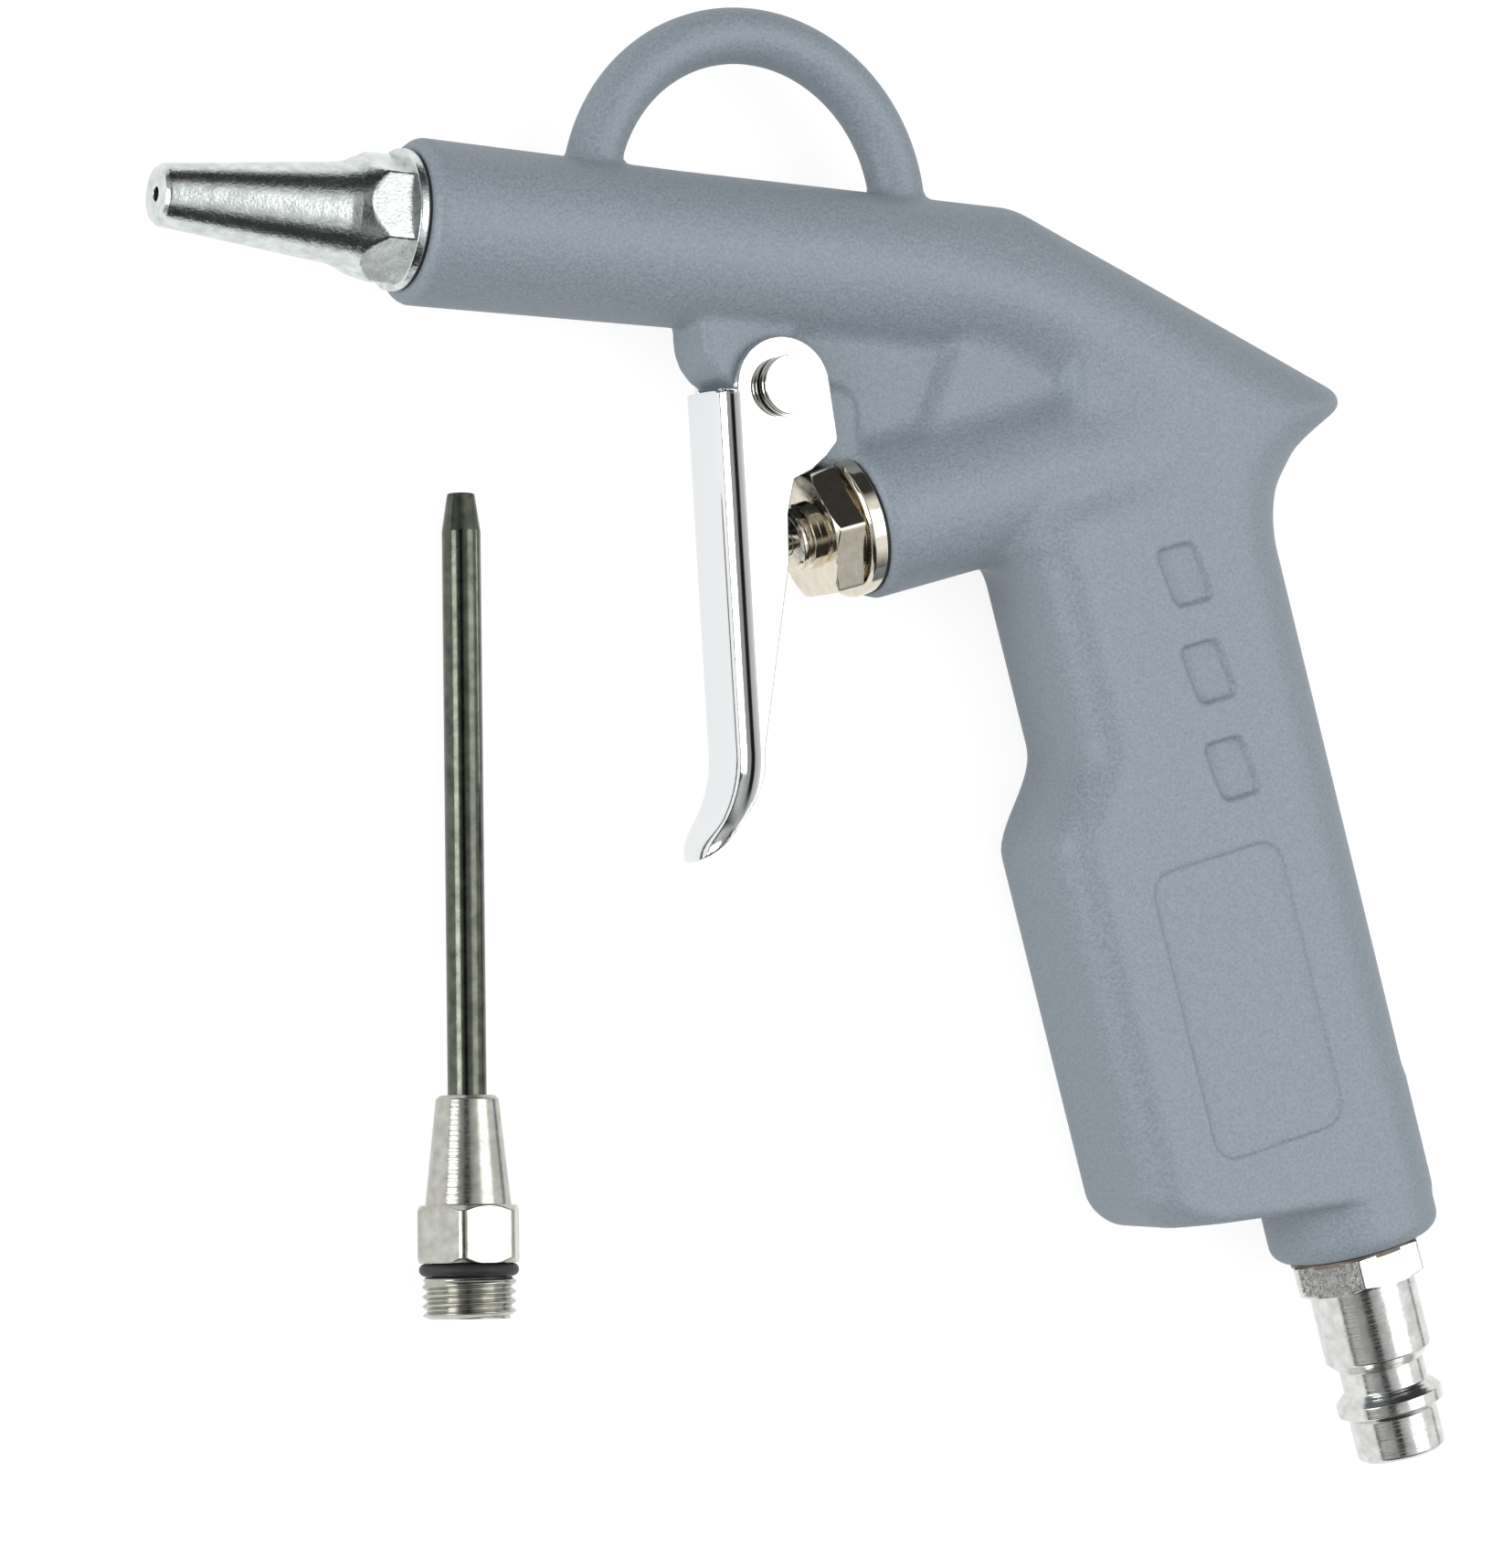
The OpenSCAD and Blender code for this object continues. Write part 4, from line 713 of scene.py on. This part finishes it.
# %% [markdown]
# ### Chrome on the trigger
# Common name: decorative chrome plate on pressed steel. It is a nearly perfect mirror with the
# slight waves of the sheet under it, so its flat faces show one broad tone each, and its bends
# show the dark room as fine lines.

# %% Chrome
bright, tree = new_finish("chrome_plated_steel")
place = add(tree, PLACE).outputs["Object"]
waves = add(tree, NOISE, {"Vector": place, "Scale": per_mm(6.0), "Detail": 0.0})
haze = add(tree, NOISE, {"Vector": place, "Scale": per_mm(2.5), "Detail": 2.0})
mirror = add(tree, BUMP, {"Height": waves, "Distance": 0.02 * MM, "Strength": 1.0})
shine = add(tree, MAP, {"Value": haze, "From Min": 0.3, "From Max": 0.7, "To Min": 0.07, "To Max": 0.12})
plate = {"Base Color": colour("#E3E5E6"), "Metallic": 1.0}
chrome = add(tree, SHADER, plate | {"Roughness": shine, "Normal": mirror})
add(tree, OUTPUT, {"Surface": chrome})
print(bright.name, len(tree.nodes), "nodes")

# %% [markdown]
# ### Turned and plated metals
# Turned pieces keep the fine rings that the lathe's tool left. They follow the distance along the
# axis and from it, so the lathe stored both with each point. Plating adds a slight grain, which
# breaks a reflection's edge into specks: that is how the eye tells plated steel from polished.
#
# - Nickel-plated brass: the valve's warm, smooth plating over turned brass.
# - Zinc-plated steel: blue zinc from a bath, grey and finely pitted, on the nozzle.
# - Polished steel: ground bar, clear and slightly warm, for stem and pin.
# - Nickel-plated steel: a white mirror with the tool's rings showing through, on the plug.
# - Drawn steel tube: smooth from the die, with a dark base colour.
# - Bright nickel: the same bath as the plug's, duller, on the spare adapter.
# - Spring wire: hard-drawn wire with a dull grey skin.


# %% One recipe for metals from the lathe
def turned_metal(name, light, dark, smooth, rough, ring, dent, dent_size=0.5):
    """ring and dent are the depths in mm of the tool's rings and of the dents."""
    material, tree = new_finish(name)
    turning = add(tree, "ShaderNodeAttribute", attribute_name="turning").outputs["Vector"]
    place = add(tree, PLACE).outputs["Object"]
    rings = add(tree, NOISE, {"Vector": turning, "Scale": per_mm(0.3), "Detail": 1.0})
    patch = add(tree, NOISE, {"Vector": place, "Scale": per_mm(1.4), "Detail": 3.0})
    specks = add(tree, NOISE, {"Vector": place, "Scale": per_mm(dent_size), "Detail": 3.0, "Roughness": 0.65})
    part = add(tree, MAP, {"Value": patch, "From Min": 0.3, "From Max": 0.7})
    tone = add(tree, MIX, {0: part, 6: colour(dark), 7: colour(light)}, data_type="RGBA").outputs[2]
    span = {"From Min": 0.3, "From Max": 0.7, "To Min": smooth, "To Max": rough}
    shine = add(tree, MAP, {"Value": specks} | span)
    grooves = add(tree, BUMP, {"Height": rings, "Distance": ring * MM, "Strength": 1.0})
    dents = add(tree, BUMP, {"Height": specks, "Distance": dent * MM, "Strength": 1.0, "Normal": grooves})
    metal = add(tree, SHADER, {"Base Color": tone, "Metallic": 1.0, "Roughness": shine, "Normal": dents})
    add(tree, OUTPUT, {"Surface": metal})
    print(name, len(tree.nodes), "nodes")
    return material


nickel = turned_metal("nickel_plated_brass", "#E6DFD0", "#D6CEBD", 0.08, 0.16, 0.003, 0.004)
zinc = turned_metal("zinc_plated_steel", "#DDE2E1", "#BCC3C1", 0.14, 0.26, 0.004, 0.04, 0.35)
steel = turned_metal("polished_steel", "#E2DFD6", "#D2CFC6", 0.1, 0.16, 0.003, 0.003)
plug_metal = turned_metal("nickel_plated_steel", "#E0E0DE", "#C4C4C2", 0.12, 0.22, 0.025, 0.01, 0.3)
tube_metal = turned_metal("drawn_steel_tube", "#62655C", "#484B43", 0.14, 0.24, 0.0015, 0.004, 0.8)
adapter_metal = turned_metal("bright_nickel", "#BDBDB6", "#A3A39B", 0.16, 0.26, 0.015, 0.004)
spring_metal = turned_metal("spring_wire", "#B9BABC", "#8E8F91", 0.25, 0.4, 0.0, 0.003)

# %% [markdown]
# ### Rubber and fibre
# The gasket and the rings are moulded nitrile rubber, matt black with a faint bloom. The plug's
# washer is punched from pressed fibre, which is paler and browner. Both are plain dull surfaces.


# %% Seals
def seal(name, light, dark):
    """Dull and slightly patchy, with fine pores."""
    material, tree = new_finish(name)
    place = add(tree, PLACE).outputs["Object"]
    bloom = add(tree, NOISE, {"Vector": place, "Scale": per_mm(1.0), "Detail": 2.0})
    pores = add(tree, NOISE, {"Vector": place, "Scale": per_mm(0.2), "Detail": 1.0})
    part = add(tree, MAP, {"Value": bloom, "From Min": 0.3, "From Max": 0.7})
    tone = add(tree, MIX, {0: part, 6: colour(dark), 7: colour(light)}, data_type="RGBA").outputs[2]
    dents = add(tree, BUMP, {"Height": pores, "Distance": 0.01 * MM, "Strength": 1.0})
    dull = add(tree, SHADER, {"Base Color": tone, "Roughness": 0.55, "Normal": dents})
    add(tree, OUTPUT, {"Surface": dull})
    print(name, len(tree.nodes), "nodes")
    return material


black = seal("nitrile_rubber", "#2A2B2E", "#1C1D1F")
fibre = seal("pressed_fibre", "#8A7F70", "#6F665A")

# %% Put the finishes on
WORN = [
    (coat, [casting]), (bright, [lever]), (nickel, [cartridge, gland]), (steel, [stem, pin]),
    (zinc, [nozzle, washer]), (plug_metal, [plug]), (tube_metal, [spare_tube]),
    (adapter_metal, [spare_adapter]),
]
CARRIED = [
    (spring_metal, ["pin_clip", "valve_spring"]),
    (black, ["cartridge_gasket", "cartridge_oring", "stem_oring", "valve_disc"]),
    (black, ["nozzle_seal", "extension_ring"]),
    (fibre, ["plug_washer"]),
]
for material, names in CARRIED:
    WORN.append((material, [frame["nodes"][name] for name in names]))
for material, pieces in WORN:
    for piece in pieces:
        piece.data.materials.clear()
        piece.data.materials.append(material)
print("finishes:", len(WORN))

# %% [markdown]
# ## Table
# The gun lies on a white table. The table shows itself to the camera and in shiny metal as plain
# white, through its own glow, and its matt part keeps the gun's shadow faint.


# %% Table
def table(half, matt, glow):
    """matt is how much light it scatters, and glow is what camera and mirrors see besides."""
    corners = np.array([[-half, -half, 0], [half, -half, 0], [half, half, 0], [-half, half, 0]], float)
    top = make_piece("table_top", corners, np.array([[0, 1, 2, 3]]))
    material, tree = new_finish("white_laminate")
    path = add(tree, "ShaderNodeLightPath")
    mirrors = add(tree, MATHS, {0: path.outputs["Is Glossy Ray"], 1: path.outputs["Is Transmission Ray"]},
                  operation="MAXIMUM")
    seen = add(tree, MATHS, {0: path.outputs["Is Camera Ray"], 1: mirrors}, operation="MAXIMUM")
    strength = add(tree, MATHS, {0: seen, 1: glow}, operation="MULTIPLY")
    plain = add(tree, "ShaderNodeBsdfDiffuse", {"Color": colour(matt)})
    light = add(tree, "ShaderNodeEmission", {"Color": colour("#FFFFFF"), "Strength": strength})
    both = add(tree, "ShaderNodeAddShader", {0: plain, 1: light})
    add(tree, OUTPUT, {"Surface": both})
    top.data.materials.append(material)


table(3.0, "#8A8A8A", 0.86)

# %% [markdown]
# ## Camera
# The view was worked out from the gun's straight edges: where they run together gives the lens,
# and how round the mouth's ellipse is gives the direction. The camera stands 0.6 m away.

# %% Camera
RIGHT = np.array([0.8880, 0.02971, 0.45889])
UP = np.array([-0.0525, 0.99794, 0.03699])
BACK = np.array([-0.45684, -0.05694, 0.88772])
PIXELS_HIGH, SENSOR, FOCAL_PIXELS, CAMERA_AWAY = 1716, 36.0, 6180, 0.6
target = to_part([[41.69, -56.21, 0]])[0]
camera_data = bpy.data.cameras.new("camera")
camera_data.sensor_width = SENSOR
camera_data.lens = FOCAL_PIXELS / PIXELS_HIGH * SENSOR
camera = bpy.data.objects.new("camera", camera_data)
bpy.context.scene.collection.objects.link(camera)
stand = np.eye(4)
stand[:3, :3] = np.stack([RIGHT, UP, BACK], axis=1)
stand[:3, 3] = target + CAMERA_AWAY * BACK
camera.matrix_world = Matrix(stand)
bpy.context.scene.camera = camera
print("lens, mm:", round(camera_data.lens, 2))


# %% [markdown]
# ## Lamps
# Two square soft lamps, as in a small photo studio. The right one is nearly in line with the
# mirror direction of flat faces, which makes the trigger's side and the nozzle's top white.

# %% Lamps
def lamp(name, away, size, watts):
    """A square soft lamp at this place in metres, turned to the gun."""
    data = bpy.data.lights.new(name, "AREA")
    data.shape, data.size, data.energy = "SQUARE", size, watts
    light = bpy.data.objects.new(name, data)
    bpy.context.scene.collection.objects.link(light)
    back = np.array(away, float) / np.linalg.norm(away)
    side = np.cross([0.0, 1.0, 0.0], back)
    side /= np.linalg.norm(side)
    turn = np.eye(4)
    turn[:3, :3] = np.stack([side, np.cross(back, side), back], axis=1)
    turn[:3, 3] = away
    light.matrix_world = Matrix(turn)
    print(name, watts, "W")


lamp("right_softbox", [0.6, 0.07, 1.1], 0.75, 3.6)
lamp("left_softbox", [-1.15, -0.1, 0.4], 0.6, 6.0)

# %% [markdown]
# ## The room
# Curved metal looks like metal because it shows a room with light and dark in it. Matt surfaces
# get an even light from all sides instead. So the world gives diffuse rays one plain level, and
# shiny ones a room by direction: bright in front, dark above and below the picture, dimmer on the
# left, with a narrow dark patch where the photographer stands, a dark corner at the far left and
# a thin dark line above the table. That line and the corner draw the edges of the bent sheet.


# %% Room
DARK_CORNER = np.array([-0.994, 0.057, 0.09])


def room(level):
    """Product of falls, from one level to another between two values. A direction's dot product
    with an axis says how far it points along it. level is for matt surfaces."""
    world = bpy.data.worlds.new("room")
    bpy.context.scene.world = world
    world.use_nodes = True
    tree = world.node_tree
    tree.nodes.clear()
    way = add(tree, PLACE).outputs["Generated"]
    parts = add(tree, "ShaderNodeSeparateXYZ", {0: way})
    dots = []
    for axis in (BACK, RIGHT, DARK_CORNER):
        dot = add(tree, "ShaderNodeVectorMath", {0: way, 1: axis.tolist()}, operation="DOT_PRODUCT")
        dots.append(dot.outputs["Value"])
    toward, right, into_corner = dots
    up = add(tree, MATHS, {0: parts.outputs["Y"]}, operation="ABSOLUTE")
    across = add(tree, MATHS, {0: right}, operation="ABSOLUTE")
    span = {"From Min": 0.88, "From Max": 0.95, "To Min": 1.0, "To Max": 0.03}
    height = add(tree, MAP, {"Value": toward} | span)
    width = add(tree, MAP, {"Value": across, "From Min": 0.12, "From Max": 0.2})
    rows = [
        (up, 0.5, 0.72, 1.0, 0.04),
        (parts.outputs["X"], -0.5, 0.0, 0.55, 1.0),
        (toward, 0.7, 0.9, 1.0, 0.65),
        (parts.outputs["Z"], 0.08, 0.14, 0.1, 1.0),
        (into_corner, 0.965, 0.985, 1.0, 0.06),
    ]
    shade = add(tree, MATHS, {0: height, 1: width}, operation="MAXIMUM")
    for value, start, end, first, last in rows:
        span = {"From Min": start, "From Max": end, "To Min": first, "To Max": last}
        fall = add(tree, MAP, {"Value": value} | span)
        shade = add(tree, MATHS, {0: shade, 1: fall}, operation="MULTIPLY")
    path = add(tree, "ShaderNodeLightPath")
    mirrors = add(tree, MATHS, {0: path.outputs["Is Glossy Ray"], 1: path.outputs["Is Transmission Ray"]},
                  operation="MAXIMUM")
    plain = add(tree, MATHS, {0: 1.0, 1: mirrors}, operation="SUBTRACT")
    matt = add(tree, MATHS, {0: plain, 1: level}, operation="MULTIPLY")
    shiny = add(tree, MATHS, {0: mirrors, 1: shade, 2: matt}, operation="MULTIPLY_ADD")
    strength = add(tree, MATHS, {0: shiny, 1: path.outputs["Is Camera Ray"]}, operation="MAXIMUM")
    light = add(tree, "ShaderNodeBackground", {"Color": colour("#FFFFFF"), "Strength": strength})
    add(tree, "ShaderNodeOutputWorld", {"Surface": light})
    print("room:", len(tree.nodes), "nodes")


room(0.7)
bpy.context.scene.view_settings.view_transform = "Standard"
